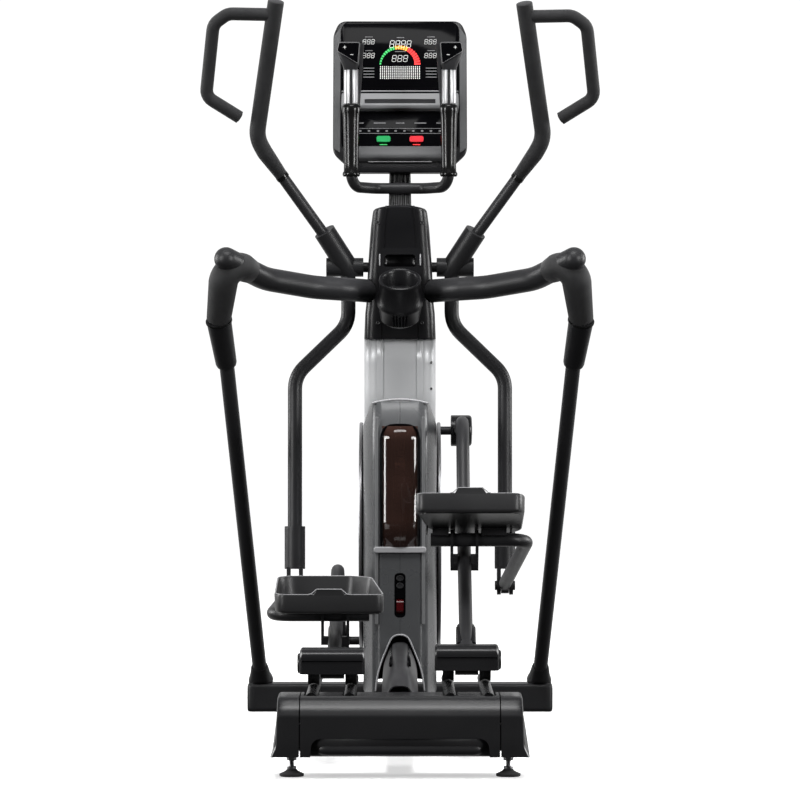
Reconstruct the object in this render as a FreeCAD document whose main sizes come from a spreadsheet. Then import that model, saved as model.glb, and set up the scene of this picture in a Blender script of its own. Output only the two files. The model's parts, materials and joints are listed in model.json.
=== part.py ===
"""Elliptical trainer with a front crank and two rear roller tracks, in millimetres.

Frame: +X to the user's right, +Y forward (the way the user faces), +Z up.
Origin: on the floor, under the middle of the machine's length and width.
The pedals stand at the bottom of the left stroke and the top of the right one.
"""
import FreeCAD, Part
import math
import os
import re
import Sketcher
from FreeCAD import Placement, Rotation, Vector

SIZES = {
    # overall
    "machine_rear": -960, "machine_front": 960,
    # front crossbar and side poles
    "crossbar_half": 374, "crossbar_depth": 90, "crossbar_tall": 70, "crossbar_cap": 14,
    "pole_foot_x": 345, "pole_foot_y": 905, "pole_radius": 17.5,
    "pole_knee_x": 405, "pole_knee_y": 300, "pole_knee_z": 850,
    "pole_hip_x": 421, "pole_hip_y": 225, "pole_hip_z": 960,
    "elbow_x": 401, "elbow_y": 152, "elbow_z": 1098,
    "handrail_radius": 27.5, "handrail_root_x": 30,
    "socket_radius": 30, "socket_tall": 36,
    # base
    "beam_half": 35, "beam_low": 40, "beam_high": 90,
    "rear_tube_half": 250, "rear_tube_y": -880, "rear_tube_depth": 50,
    "rear_tube_low": 62, "rear_tube_high": 108,
    "rear_cover_half": 205, "rear_cover_end": 265, "rear_cover_low": 45, "rear_cover_high": 168,
    "rear_cover_front": -800, "cover_wall": 3,
    "recess_half": 180, "recess_high": 82,
    "handle_radius": 12.25, "handle_half": 166, "handle_y": -943, "handle_z": 60,
    "foot_x": 222.5, "foot_y": -885, "foot_pad_radius": 25.5, "foot_pad_tall": 12,
    "foot_stem_radius": 5, "thread_clearance": 0.05,
    # tracks
    "track_x": 143, "rail_gap": 79, "rail_radius": 12.5, "rail_rear": -905, "rail_front": -268,
    "roller_z": 200, "roller_radius": 30, "tread_radius": 26.7, "roller_width": 24,
    "roller_axle_radius": 8, "roller_axle_half": 64,
    # mast
    "mast_half": 30, "mast_foot_y": 640, "pivot_y": 440, "pivot_z": 1088, "mast_top": 1232,
    "spine_half": 39, "spine_high": 220, "spine_low": 92, "spine_rear": -800, "spine_front": 100,
    # crank
    "crank_y": 470, "crank_z": 450, "crank_radius": 250, "disc_radius": 270, "disc_inner": 88,
    "disc_thick": 8, "axle_radius": 12.5, "bearing_outer": 26, "bearing_long": 12,
    "shell_half": 38, "shell_radius": 30, "pulley_radius": 150, "pulley_x": 45, "pulley_wide": 12,
    "flywheel_y": 230, "flywheel_z": 570, "flywheel_radius": 128, "flywheel_thick": 24,
    "flywheel_axle_radius": 6, "small_pulley_radius": 25, "belt_gap": 0.4, "belt_thick": 2.5,
    # pedal arm, in its own plane: along the arm from the crank pin, and above it
    "arm_radius": 15, "arm_long": 1100, "arm_peak_along": 340, "arm_peak_up": 203,
    "arm_knee_along": 600, "arm_knee_up": 62, "foot_pivot_along": 715, "foot_pivot_up": 99,
    "pin_radius": 10, "joint_cover_radius": 37, "joint_cover_inner": 121, "joint_cover_outer": 172,
    "running": 0.05, "ear_offset": 28, "ear_thick": 6, "ear_radius": 22,
    # foot link: along it from the foot pivot to the swing arm's lower end, and above it
    "link_radius": 15, "link_long": 660, "link_inner": 68, "link_corner": 283, "link_front": 249,
    "tongue_half": 9, "tongue_radius": 19,
    "pedal_inner": 34, "pedal_outer": 272, "pedal_rear": -222, "pedal_front": 52,
    "pedal_low": 24, "pedal_floor": 6, "pedal_wall": 42, "pedal_notch": 12, "pedal_notch_half": 27,
    # swing arms
    "hub_inner": 87, "hub_outer": 175, "hub_radius": 22.5, "pivot_radius": 12,
    "swing_radius": 17, "swing_inner_x": 122.5, "swing_outer_x": 249, "arm_end_z": 333,
    "swing_bend_high": 952, "swing_bend_low": 830, "fork_top": 474, "fork_radius": 24.5,
    "cheek_thick": 9, "cheek_radius": 22,
    "upper_sleeve_radius": 26, "upper_radius": 14, "grip_radius": 18.75, "loop_radius": 15,
    "loop_core": 10, "upper_lean": 0.40,
    # covers
    "shroud_half": 85, "shroud_rear_half": 63, "shroud_rear": 60, "shroud_front": 760,
    "shroud_low": 96, "shroud_high": 770, "window_half": 42, "window_low": 437, "window_high": 714,
    "mast_cover_half": 85, "mast_cover_low": 716, "housing_low": 918, "housing_high": 1232,
    "housing_low_half": 85, "housing_high_half": 64, "housing_wall": 3,
    "cup_y": 300, "cup_z": 1056, "cup_radius": 41, "cup_wall": 8, "cup_deep": 105, "cup_tilt": 32,
    # console
    "console_half": 158.5, "console_tall": 378, "console_y": 430, "console_z": 1490,
    "console_tilt": 15, "console_deep": 45, "bezel_deep": 12,
    "key_across": 39, "key_up": -108, "key_half_wide": 16.5, "key_half_tall": 7.2, "key_gap": 0.5,
    "pulse_x": 114, "pulse_y": 300, "pulse_radius": 13, "pulse_grip_radius": 18,
    "pulse_low": 1272, "pulse_grip_low": 1300, "pulse_grip_high": 1452, "sensor_high": 1547,
}

doc = FreeCAD.newDocument("EllipticalTrainer")
sheet = doc.addObject("Spreadsheet::Sheet", "Dims")
NODES = []
HOME = Placement()
UP = Vector(0, 0, 1)
RIGHT = Vector(1, 0, 0)
FORWARD = Vector(0, 1, 0)
SIDES = {"left": -1, "right": 1}
PLANES = {
    "yz": Rotation(Vector(1, 1, 1), 120),   # sketch x runs along Y, sketch y along Z, depth along X
    "xz": Rotation(RIGHT, 90),              # sketch x runs along X, sketch y along Z, depth along -Y
    "xy": Rotation(),                       # sketch x runs along X, sketch y along Y, depth along Z
}


def fill_sheet():
    """Write every driving dimension to its own cell, with its name as the alias."""
    for row, (alias, value) in enumerate(SIZES.items(), start=1):
        sheet.set("A%d" % row, alias)
        sheet.set("B%d" % row, str(value))
        sheet.setAlias("B%d" % row, alias)
    doc.recompute()


def cells(text):
    """An expression in which each driving dimension is read from the sheet."""
    return re.sub(r"[a-z][a-z_]+", lambda word: "Dims." + word[0] if word[0] in SIZES else word[0],
                  str(text))


def num(text):
    """The present value of an expression."""
    if isinstance(text, (int, float)):
        return float(text)
    return float(sheet.evalExpression(cells(text)))


def point(place):
    return Vector(*[num(part) for part in place])


def bind(item, **sizes):
    """Bind an object's properties to expressions on the sheet."""
    for prop, text in sizes.items():
        if isinstance(text, (int, float)):
            setattr(item, prop, text)
        else:
            item.setExpression(prop, cells(text))
    return item


def node(item, label):
    item.Label = label
    NODES.append(item)
    return item


def cylinder(name, radius, length, base, axis=UP, frame=HOME):
    item = doc.addObject("Part::Cylinder", name)
    bind(item, Radius=radius, Height=length)
    item.Placement = frame * Placement(point(base), Rotation(UP, axis))
    return item


def cone(name, radius_low, radius_high, length, base, axis=UP, frame=HOME):
    item = doc.addObject("Part::Cone", name)
    bind(item, Radius1=radius_low, Radius2=radius_high, Height=length)
    item.Placement = frame * Placement(point(base), Rotation(UP, axis))
    return item


def box(name, low, high, frame=HOME):
    """A box between two corners; each corner is three expressions."""
    item = doc.addObject("Part::Box", name)
    spans = ["(%s) - (%s)" % (far, near) for near, far in zip(low, high)]
    bind(item, Length=spans[0], Width=spans[1], Height=spans[2])
    item.Placement = frame * Placement(point(low), Rotation())
    if frame is HOME:
        bind(item, **{"Placement.Base.x": str(low[0]), "Placement.Base.y": str(low[1]),
                      "Placement.Base.z": str(low[2])})
    return item


def fuse(name, parts):
    item = doc.addObject("Part::MultiFuse", name)
    item.Shapes = parts
    item.Refine = True
    return item


def cut(name, base, tool):
    item = doc.addObject("Part::Cut", name)
    item.Base = base
    item.Tool = tool if not isinstance(tool, list) else fuse(name + "_tools", tool)
    return item


def common(name, one, two):
    item = doc.addObject("Part::Common", name)
    item.Base = one
    item.Tool = two
    return item


def group(name, parts):
    """Several separate solids that share one node."""
    item = doc.addObject("Part::Compound", name)
    item.Links = parts
    return item


def fillet(name, base, radius, chosen):
    """Round the edges of a shape for which chosen(edge) is true."""
    doc.recompute()
    edges = [(count, num(radius), num(radius))
             for count, edge in enumerate(base.Shape.Edges, start=1) if chosen(edge)]
    item = doc.addObject("Part::Fillet", name)
    item.Base = base
    item.Edges = edges
    return item


def runs_along(axis):
    """Pick the straight edges that run along a direction."""
    def chosen(edge):
        if edge.Curve.TypeId != "Part::GeomLine":
            return False
        return abs(edge.Curve.Direction.dot(axis)) > 0.999
    return chosen


def bent_wire(places, bend):
    """Straight runs joined by tangent arcs; bend is one radius, or one for each corner."""
    corners = places[1:-1]
    radii = bend if isinstance(bend, list) else [bend] * len(corners)
    edges = []
    start = places[0]
    for corner, radius, after in zip(corners, radii, places[2:]):
        inward = (corner - start).normalize()
        outward = (after - corner).normalize()
        turn = math.acos(max(-1.0, min(1.0, inward.dot(outward))))
        reach = radius * math.tan(turn / 2)
        arc_start = corner - inward * reach
        arc_end = corner + outward * reach
        middle = (outward - inward).normalize()
        arc_middle = corner + middle * (radius / math.cos(turn / 2) - radius)
        edges.append(Part.LineSegment(start, arc_start).toShape())
        edges.append(Part.Arc(arc_start, arc_middle, arc_end).toShape())
        start = arc_end
    edges.append(Part.LineSegment(start, places[-1]).toShape())
    return Part.Wire(edges)


def rod(name, places, radius, bend, frame=HOME):
    """A round bar along a bent path; places are expression triples in the given frame."""
    route = [frame.multVec(point(place)) for place in places]
    path = doc.addObject("Part::Feature", name + "_path")
    path.Shape = bent_wire(route, bend)
    profile = doc.addObject("Part::Circle", name + "_profile")
    bind(profile, Radius=radius)
    profile.Placement = Placement(route[0], Rotation(UP, route[1] - route[0]))
    sweep = doc.addObject("Part::Sweep", name)
    sweep.Sections = [profile]
    sweep.Spine = (path, ["Edge%d" % (count + 1) for count in range(len(path.Shape.Edges))])
    sweep.Solid = True
    sweep.Frenet = False
    return sweep


def outline_sketch(name, outline, plane, offset, frame=HOME):
    """A closed outline of straight lines whose corners are bound to the sheet."""
    shift = {"yz": Vector(num(offset), 0, 0), "xz": Vector(0, num(offset), 0),
             "xy": Vector(0, 0, num(offset))}
    sketch = doc.addObject("Sketcher::SketchObject", name)
    sketch.Placement = frame * Placement(shift[plane], PLANES[plane])
    corners = [Vector(num(across), num(up), 0) for across, up in outline]
    count = len(corners)
    for index, corner in enumerate(corners):
        sketch.addGeometry(Part.LineSegment(corner, corners[(index + 1) % count]), False)
    for index in range(count):
        sketch.addConstraint(Sketcher.Constraint("Coincident", index, 2, (index + 1) % count, 1))
    for index, (across, up) in enumerate(outline):
        for kind, text in (("DistanceX", across), ("DistanceY", up)):
            slot = sketch.addConstraint(Sketcher.Constraint(kind, -1, 1, index, 1, num(text)))
            if not isinstance(text, (int, float)):
                sketch.setExpression("Constraints[%d]" % slot, cells(text))
    return sketch


def prism(name, outline, plane, start, depth, frame=HOME):
    """An outline carried straight along its plane's depth direction."""
    base = outline_sketch(name + "_outline", outline, plane, start, frame)
    item = doc.addObject("Part::Extrusion", name)
    item.Base = base
    item.DirMode = "Normal"
    item.Solid = True
    bind(item, LengthFwd=depth)
    return item


def turned(name, outline, axis_place, axis, frame=HOME):
    """A profile of (along, radius) pairs turned about an axis through a point."""
    spin = Rotation(RIGHT, axis)
    sketch = outline_sketch(name + "_profile", outline, "xy", 0, frame * Placement(point(axis_place), spin))
    item = doc.addObject("Part::Revolution", name)
    item.Source = sketch
    item.Axis = (frame.Rotation * spin).multVec(RIGHT)
    item.Base = frame.multVec(point(axis_place))
    item.Angle = 360
    item.Solid = True
    return item


def lofted(name, places, sections, corner):
    """A solid through rounded rectangles; each section is (half width, half depth) about its place."""
    wires = []
    for place, (half_wide, half_deep) in zip(places, sections):
        wire = rounded_rectangle(name + "_section", place, half_wide, half_deep, corner)
        wires.append(wire)
    item = doc.addObject("Part::Loft", name)
    item.Sections = wires
    item.Solid = True
    item.Ruled = True
    return item


def rounded_rectangle(name, place, half_wide, half_deep, corner):
    """A level rectangle with arcs for corners, as a closed wire."""
    wide, deep, radius = num(half_wide), num(half_deep), num(corner)
    slant = radius * (1 - math.sqrt(0.5))
    edges = []
    for turn in range(4):
        reach, side = (wide, deep) if turn % 2 == 0 else (deep, wide)
        spin = Rotation(UP, 90 * turn)
        edges.append(Part.LineSegment(spin.multVec(Vector(reach, -(side - radius), 0)),
                                      spin.multVec(Vector(reach, side - radius, 0))).toShape())
        edges.append(Part.Arc(spin.multVec(Vector(reach, side - radius, 0)),
                              spin.multVec(Vector(reach - slant, side - slant, 0)),
                              spin.multVec(Vector(reach - radius, side, 0))).toShape())
    wire = doc.addObject("Part::Feature", name)
    wire.Shape = Part.Wire(edges)
    wire.Placement = Placement(point(place), Rotation())
    return wire


def mirror_x(places, side):
    """The same places on the left (side -1) or on the right (side 1)."""
    return [("(%s) * %d" % (across, side), forward, up) for across, forward, up in places]


def mast_y(height):
    """Where the leaning mast's centre line stands at a height."""
    return "mast_foot_y + (pivot_y - mast_foot_y) * ((%s) - beam_high) / (pivot_z - beam_high)" % height


# ---------------------------------------------------------------- base

def make_base_frame():
    """The long beam, its front rail arms and the rear cross tube, welded as one piece."""
    spine = box("beam_tube", ("-beam_half", "rear_tube_y + rear_tube_depth / 2", "beam_low"),
                ("beam_half", "machine_front - crossbar_depth", "beam_high"))
    parts = [spine]
    for side in SIDES.values():
        arm_low, arm_high = (30, 212) if side > 0 else (-212, -30)
        parts.append(box("rail_arm", (arm_low, "rail_front - 42", "rear_tube_low"),
                         (arm_high, "rail_front - 2", "beam_high - 2")))
    for rail_x in rail_places():
        parts.append(box("rail_post", ("%s - 8" % rail_x, "rail_front - 36", "beam_high - 4"),
                         ("%s + 8" % rail_x, "rail_front - 8",
                          "roller_z - tread_radius - 2 * rail_radius + 0.2")))
    parts += rear_tube_parts()
    tube = fuse("base_body", parts)
    holes = [cylinder("foot_hole", "foot_stem_radius + thread_clearance",
                      "rear_tube_high - rear_tube_low + 4",
                      ("%d * foot_x" % side, "foot_y", "rear_tube_low - 2")) for side in SIDES.values()]
    node(cut("base_drilled", tube, holes), "base_frame")


def rail_places():
    return ["(%d * (track_x %s rail_gap / 2))" % (side, sign) for side in SIDES.values() for sign in "-+"]


def rear_tube_parts():
    """The rear cross tube with a post under each rail, welded to the beam."""
    parts = [box("rear_tube", ("-rear_tube_half", "rear_tube_y - rear_tube_depth / 2", "rear_tube_low"),
                 ("rear_tube_half", "rear_tube_y + rear_tube_depth / 2", "rear_tube_high"))]
    for rail_x in rail_places():
        parts.append(box("rear_post", ("%s - 8" % rail_x, "rear_tube_y - 12", "rear_tube_high - 2"),
                         ("%s + 8" % rail_x, "rear_tube_y + 12",
                          "roller_z - tread_radius - 2 * rail_radius + 0.2")))
    return parts


def make_rails():
    """Four round rails, two under each roller carriage; each sits in a shallow saddle on its posts."""
    rails = [cylinder("rail", "rail_radius", "rail_front - rail_rear",
                      (rail_x, "rail_rear", "roller_z - tread_radius - rail_radius - 0.3"), FORWARD)
             for rail_x in rail_places()]
    node(group("track_rails_group", rails), "track_rails")


def make_front_crossbar():
    low = ("-crossbar_half + crossbar_cap", "machine_front - crossbar_depth", 0)
    high = ("crossbar_half - crossbar_cap", "machine_front", "crossbar_tall")
    bar = fillet("crossbar_rounded", box("crossbar_block", low, high), 10, runs_along(RIGHT))
    node(bar, "front_crossbar")


def make_crossbar_caps(poles):
    """A moulded cap on each end of the crossbar, and the collar that the side pole stands in."""
    caps = []
    for side in SIDES.values():
        near, far = "crossbar_half - crossbar_cap", "crossbar_half"
        low_x, high_x = (near, far) if side > 0 else ("-(%s)" % far, "-(%s)" % near)
        plate = box("cap_plate", (low_x, "machine_front - crossbar_depth", 0),
                    (high_x, "machine_front", "crossbar_tall"))
        plate = fillet("cap_plate_rounded", plate, 10, runs_along(RIGHT))
        collar = cone("pole_collar", "socket_radius + 3", "socket_radius - 6", "socket_tall",
                      ("%d * (pole_foot_x + 1)" % side, "pole_foot_y - 8", "crossbar_tall"))
        caps.append(cut("pole_collar_bored", collar, poles[side]))
        caps.append(plate)
    node(group("crossbar_caps_group", caps), "crossbar_caps")


def make_rear_cover():
    """The plastic hood over the rear cross tube: a middle shell, and an end shell on each side."""
    outside = [("machine_rear", "rear_cover_low"), ("machine_rear", "rear_cover_high - 34"),
               ("machine_rear + 10", "rear_cover_high - 12"), ("machine_rear + 32", "rear_cover_high"),
               ("rear_cover_front", "rear_cover_high"), ("rear_cover_front", "rear_cover_low")]
    inside = [("machine_rear + cover_wall", "rear_cover_low - 1"),
              ("machine_rear + cover_wall", "rear_cover_high - 36"),
              ("machine_rear + 13", "rear_cover_high - 15"),
              ("machine_rear + 34", "rear_cover_high - cover_wall"),
              ("rear_cover_front - cover_wall", "rear_cover_high - cover_wall"),
              ("rear_cover_front - cover_wall", "rear_cover_low - 1")]
    block = prism("cover_block", outside, "yz", "-rear_cover_half", "2 * rear_cover_half")
    hollow = prism("cover_hollow", inside, "yz", "-rear_cover_half - 1", "2 * rear_cover_half + 2")
    recess = box("cover_recess", ("-recess_half", "machine_rear - 1", "rear_cover_low - 1"),
                 ("recess_half", "machine_rear + 12", "recess_high"))
    slots = [box("rail_slot", ("%s - rail_radius - 3" % rail_x, "rail_rear - 8", "rear_cover_low + 80"),
                 ("%s + rail_radius + 3" % rail_x, "rear_cover_front + 1", "rear_cover_high + 1"))
             for rail_x in rail_places()]
    notch = box("beam_notch", ("-spine_half - 2", "rear_cover_front - 20", "rear_cover_low - 2"),
                ("spine_half + 2", "rear_cover_front + 1", "spine_low + 2"))
    node(cut("rear_cover_shell", block, [hollow, recess, notch] + slots), "rear_cover")
    ends = []
    for side in SIDES.values():
        start = "rear_cover_half" if side > 0 else "-rear_cover_end"
        hollow_start = "rear_cover_half - 1" if side > 0 else "-rear_cover_end + cover_wall"
        end_block = prism("cover_end_block", outside, "yz", start, "rear_cover_end - rear_cover_half")
        end_hollow = prism("cover_end_hollow", inside, "yz", hollow_start,
                           "rear_cover_end - rear_cover_half - cover_wall + 1")
        ends.append(cut("cover_end_shell", end_block, end_hollow))
    node(group("rear_cover_ends_group", ends), "rear_cover_ends")


def make_rear_handle():
    """A bent bar for lifting the machine by its rear end, held in the cross tube's rear face."""
    tube_face = "rear_tube_y - rear_tube_depth / 2"
    places = [("-handle_half", tube_face, "handle_z + 16"), ("-handle_half", "handle_y", "handle_z"),
              ("handle_half", "handle_y", "handle_z"), ("handle_half", tube_face, "handle_z + 16")]
    node(rod("handle_bar", places, "handle_radius", 18), "rear_handle")


def make_feet():
    """A rubber pad on a threaded stem with its lock nut, under each end of the rear cross tube."""
    for name, side in SIDES.items():
        place = ("%d * foot_x" % side, "foot_y", 0)
        pad = turned("foot_pad_" + name,
                     [(0, 0), (0, "foot_pad_radius"), (5, "foot_pad_radius"), ("foot_pad_tall", 13),
                      ("foot_pad_tall", 0)], place, UP)
        stem = cylinder("foot_stem_" + name, "foot_stem_radius", 88, ("%d * foot_x" % side, "foot_y", 8))
        nut = doc.addObject("Part::Prism", "foot_nut_" + name)
        nut.Polygon = 6
        nut.Circumradius = 10.4
        nut.Height = 9
        nut.Placement = Placement(point(("%d * foot_x" % side, "foot_y", 33)), Rotation())
        node(fuse("rear_foot_%s_body" % name, [pad, stem, nut]), "rear_foot_" + name)


def make_spine_cover():
    """A moulded cover over the beam between the two tracks, open underneath."""
    outer = [("-spine_half", "spine_low"), ("-spine_half", "spine_high - 14"),
             ("-spine_half + 12", "spine_high"),
             ("spine_half - 12", "spine_high"), ("spine_half", "spine_high - 14"),
             ("spine_half", "spine_low")]
    inner = [("-spine_half + cover_wall", "spine_low - 1"), ("-spine_half + cover_wall", "spine_high - 16"),
             ("-spine_half + 14", "spine_high - cover_wall"),
             ("spine_half - 14", "spine_high - cover_wall"),
             ("spine_half - cover_wall", "spine_high - 16"), ("spine_half - cover_wall", "spine_low - 1")]
    block = prism("spine_block", outer, "xz", "spine_front", "spine_front - spine_rear")
    hollow = prism("spine_hollow", inner, "xz", "spine_front + 1", "spine_front - spine_rear - 2")
    node(cut("spine_shell", block, hollow), "spine_cover")


# ---------------------------------------------------------------- mast and drive

def make_mast():
    """The leaning steel upright, with the crank shell and flywheel plates welded to it."""
    foot = (0, "mast_foot_y", "beam_high")
    top = (0, mast_y("mast_top"), "mast_top")
    wires = [rounded_rectangle("mast_section", place, "mast_half", "mast_half", 6) for place in (foot, top)]
    column = doc.addObject("Part::Loft", "mast_column")
    column.Sections = wires
    column.Solid = True
    column.Ruled = True
    shell = cylinder("crank_shell", "shell_radius", "2 * shell_half",
                     ("-shell_half", "crank_y", "crank_z"), RIGHT)
    web = box("crank_web", (-20, "crank_y", "crank_z - 22"), (20, "crank_y + 90", "crank_z + 22"))
    plate_outline = [("flywheel_y - 20", "flywheel_z - 16"), ("flywheel_y - 20", "flywheel_z + 16"),
                     ("crank_y + 70", "flywheel_z + 72"), ("crank_y + 70", "flywheel_z + 36")]
    plates = [prism("flywheel_plate", plate_outline, "yz", start, 5) for start in (61, -23)]
    plates.append(box("plate_bridge", (20, "crank_y + 34", "flywheel_z + 37"),
                      (63, "crank_y + 70", "flywheel_z + 62")))
    solid = fuse("mast_welded", [column, shell, web] + plates)
    bore = cylinder("shell_bore", "bearing_outer", "2 * shell_half + 2",
                    ("-shell_half - 1", "crank_y", "crank_z"), RIGHT)
    pivot_hole = cylinder("pivot_hole", "pivot_radius", "2 * mast_half + 2",
                          ("-mast_half - 1", "pivot_y", "pivot_z"), RIGHT)
    axle_hole = cylinder("flywheel_hole", "flywheel_axle_radius", 110, (-40, "flywheel_y", "flywheel_z"),
                         RIGHT)
    node(cut("mast_machined", solid, [bore, pivot_hole, axle_hole]), "mast")


def make_crank_bearings():
    rings = []
    for start in ("-shell_half", "shell_half - bearing_long"):
        ring = turned("crank_bearing", [(0, "axle_radius + running"), (0, "bearing_outer"),
                                        ("bearing_long", "bearing_outer"),
                                        ("bearing_long", "axle_radius + running")],
                      (start, "crank_y", "crank_z"), RIGHT)
        rings.append(ring)
    node(group("crank_bearings_group", rings), "crank_bearings")


def make_crank():
    """The crank axle with a disc on each end, and the large belt pulley."""
    half = "(disc_inner + disc_thick)"
    axle = cylinder("crank_axle_bar", "axle_radius", "2 * %s" % half, ("-%s" % half, "crank_y", "crank_z"),
                    RIGHT)
    node(axle, "crank_axle")
    discs = []
    for start in ("disc_inner", "-disc_inner - disc_thick"):
        discs.append(turned("crank_disc", [(0, "axle_radius"), (0, "disc_radius - 2"), (2, "disc_radius"),
                                           ("disc_thick - 2", "disc_radius"),
                                           ("disc_thick", "disc_radius - 2"),
                                           ("disc_thick", "axle_radius")], (start, "crank_y", "crank_z"),
                                           RIGHT))
    node(group("crank_discs_group", discs), "crank_discs")
    rim = "pulley_radius"
    pulley = turned("pulley_wheel",
                    [(0, "axle_radius"), (0, 32), (3, 32), (3, "pulley_radius - 12"),
                     (0, "pulley_radius - 10"),
                                     (0, rim), ("pulley_wide", rim), ("pulley_wide", "pulley_radius - 10"),
                                     ("pulley_wide - 3", "pulley_radius - 12"), ("pulley_wide - 3", 32),
                                     ("pulley_wide", 32), ("pulley_wide", "axle_radius")],
                    ("pulley_x", "crank_y", "crank_z"), RIGHT)
    node(pulley, "drive_pulley")


def make_flywheel():
    """A heavy rimmed wheel with its small belt pulley on one hub, turning on a fixed axle."""
    half, hub = "flywheel_thick / 2", 16.5
    bore = "flywheel_axle_radius + running"
    wheel = turned("flywheel_disc",
                   [("-(%s)" % half, "flywheel_radius - 30"), ("-(%s)" % half, "flywheel_radius"),
                                     (half, "flywheel_radius"), (half, "flywheel_radius - 30"),
                                     (6, "flywheel_radius - 34"),
                                     (6, 28), (hub, 24), ("pulley_x + 1", 14), ("pulley_x + 1", bore),
                                     (-hub, bore), (-hub, 24), (-6, 28),
                                     (-6, "flywheel_radius - 34")], (0, "flywheel_y", "flywheel_z"), RIGHT)
    pinion = turned("pinion_wheel", [("pulley_x", bore), ("pulley_x", "small_pulley_radius"),
                                     ("pulley_x + pulley_wide", "small_pulley_radius"),
                                     ("pulley_x + pulley_wide", bore)], (0, "flywheel_y", "flywheel_z"),
                                     RIGHT)
    node(fuse("flywheel_and_pulley", [wheel, pinion]), "flywheel")
    axle = cylinder("flywheel_axle_bar", "flywheel_axle_radius", 106, (-34, "flywheel_y", "flywheel_z"),
                    RIGHT)
    node(axle, "flywheel_axle")
    brake = turned("brake_ring",
                   [(-20, "flywheel_radius + 3"), (-20, "flywheel_radius + 15"),
                    (20, "flywheel_radius + 15"),
                                  (20, "flywheel_radius + 3")], (0, "flywheel_y", "flywheel_z"), RIGHT)
    window = box("brake_window", (-30, "flywheel_y + 18", "flywheel_z + 40"),
                 (30, "flywheel_y + 180", "flywheel_z + 180"))
    node(common("brake_caliper", brake, window), "brake_magnet")


def belt_loop(name, extra, start, depth):
    """A solid whose outline is the taut loop round both pulleys, set outward by extra."""
    big = Vector(num("crank_y"), num("crank_z"), 0)
    small = Vector(num("flywheel_y"), num("flywheel_z"), 0)
    big_radius = num("pulley_radius") + extra
    small_radius = num("small_pulley_radius") + extra
    line = (small - big)
    lean = math.acos((big_radius - small_radius) / line.Length)
    heading = math.atan2(line.y, line.x)

    def rim(centre, radius, angle):
        return centre + Vector(math.cos(angle), math.sin(angle), 0) * radius

    high, low = heading + lean, heading - lean
    edges = [Part.Arc(rim(big, big_radius, high), rim(big, big_radius, heading + math.pi),
                      rim(big, big_radius, low)).toShape(),
             Part.LineSegment(rim(big, big_radius, low), rim(small, small_radius, low)).toShape(),
             Part.Arc(rim(small, small_radius, low), rim(small, small_radius, heading),
                      rim(small, small_radius, high)).toShape(),
             Part.LineSegment(rim(small, small_radius, high), rim(big, big_radius, high)).toShape()]
    item = doc.addObject("Part::Feature", name)
    item.Shape = Part.Face(Part.Wire(edges)).extrude(UP * depth)
    item.Placement = Placement(Vector(start, 0, 0), PLANES["yz"])
    return item


def make_belt():
    inner = belt_loop("belt_inside", num("belt_gap"), num("pulley_x"), 12)
    outer = belt_loop("belt_outside", num("belt_gap + belt_thick"), num("pulley_x + 1"), 10)
    node(cut("belt_strip", outer, inner), "drive_belt")


# ---------------------------------------------------------------- roller tracks, pedal arms and links

def arm_pose(name):
    """The placement of a pedal arm: its origin is the crank pin, its plane stands at the track."""
    rise = "crank_radius" if name == "right" else "-crank_radius"
    pin = point((0, "crank_y", "crank_z + %s" % rise))
    slope = math.degrees(math.asin((pin.z - num("roller_z")) / num("arm_long")))
    return Placement(pin, Rotation(RIGHT, slope))


def foot_pivot(name):
    """Where the foot link turns on the pedal arm."""
    return arm_pose(name).multVec(point((0, "-foot_pivot_along", "foot_pivot_up")))


def link_pose(name):
    """The placement of a foot link: its origin is the foot pivot, +Y runs to the swing arm's end."""
    start = foot_pivot(name)
    drop = num("arm_end_z") - start.z
    slope = math.degrees(math.asin(drop / num("link_long")))
    return Placement(start, Rotation(RIGHT, slope))


def swing_pose(name):
    """The placement of a swing arm: its origin is the pivot, -Z runs to the foot link's end."""
    end = link_pose(name).multVec(point((0, "link_long", 0)))
    pivot = point((0, "pivot_y", "pivot_z"))
    tilt = math.degrees(math.atan2(end.y - pivot.y, pivot.z - end.z))
    return Placement(pivot, Rotation(RIGHT, tilt))


def roller_place(name):
    return arm_pose(name).multVec(point((0, "-arm_long", 0)))


def make_roller_set(name, side):
    centre = roller_place(name)
    axle = cylinder("roller_axle_" + name, "roller_axle_radius", "2 * roller_axle_half",
                    ("%d * track_x - roller_axle_half" % side, centre.y, centre.z), RIGHT)
    node(axle, "roller_axle_" + name)
    wheels = []
    for sign in "-+":
        place = ("%d * track_x %s rail_gap / 2" % (side, sign), centre.y, centre.z)
        half = "roller_width / 2"
        wheels.append(turned("roller_wheel",
                             [("-(%s)" % half, "roller_axle_radius + running"),
                              ("-(%s)" % half, "roller_radius"),
                                              (-10.5, "roller_radius"), (-3, "tread_radius"),
                                              (3, "tread_radius"),
                                              (10.5, "roller_radius"), (half, "roller_radius"),
                                              (half, "roller_axle_radius + running")], place, RIGHT))
    node(group("rollers_group_" + name, wheels), "rollers_" + name)


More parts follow.
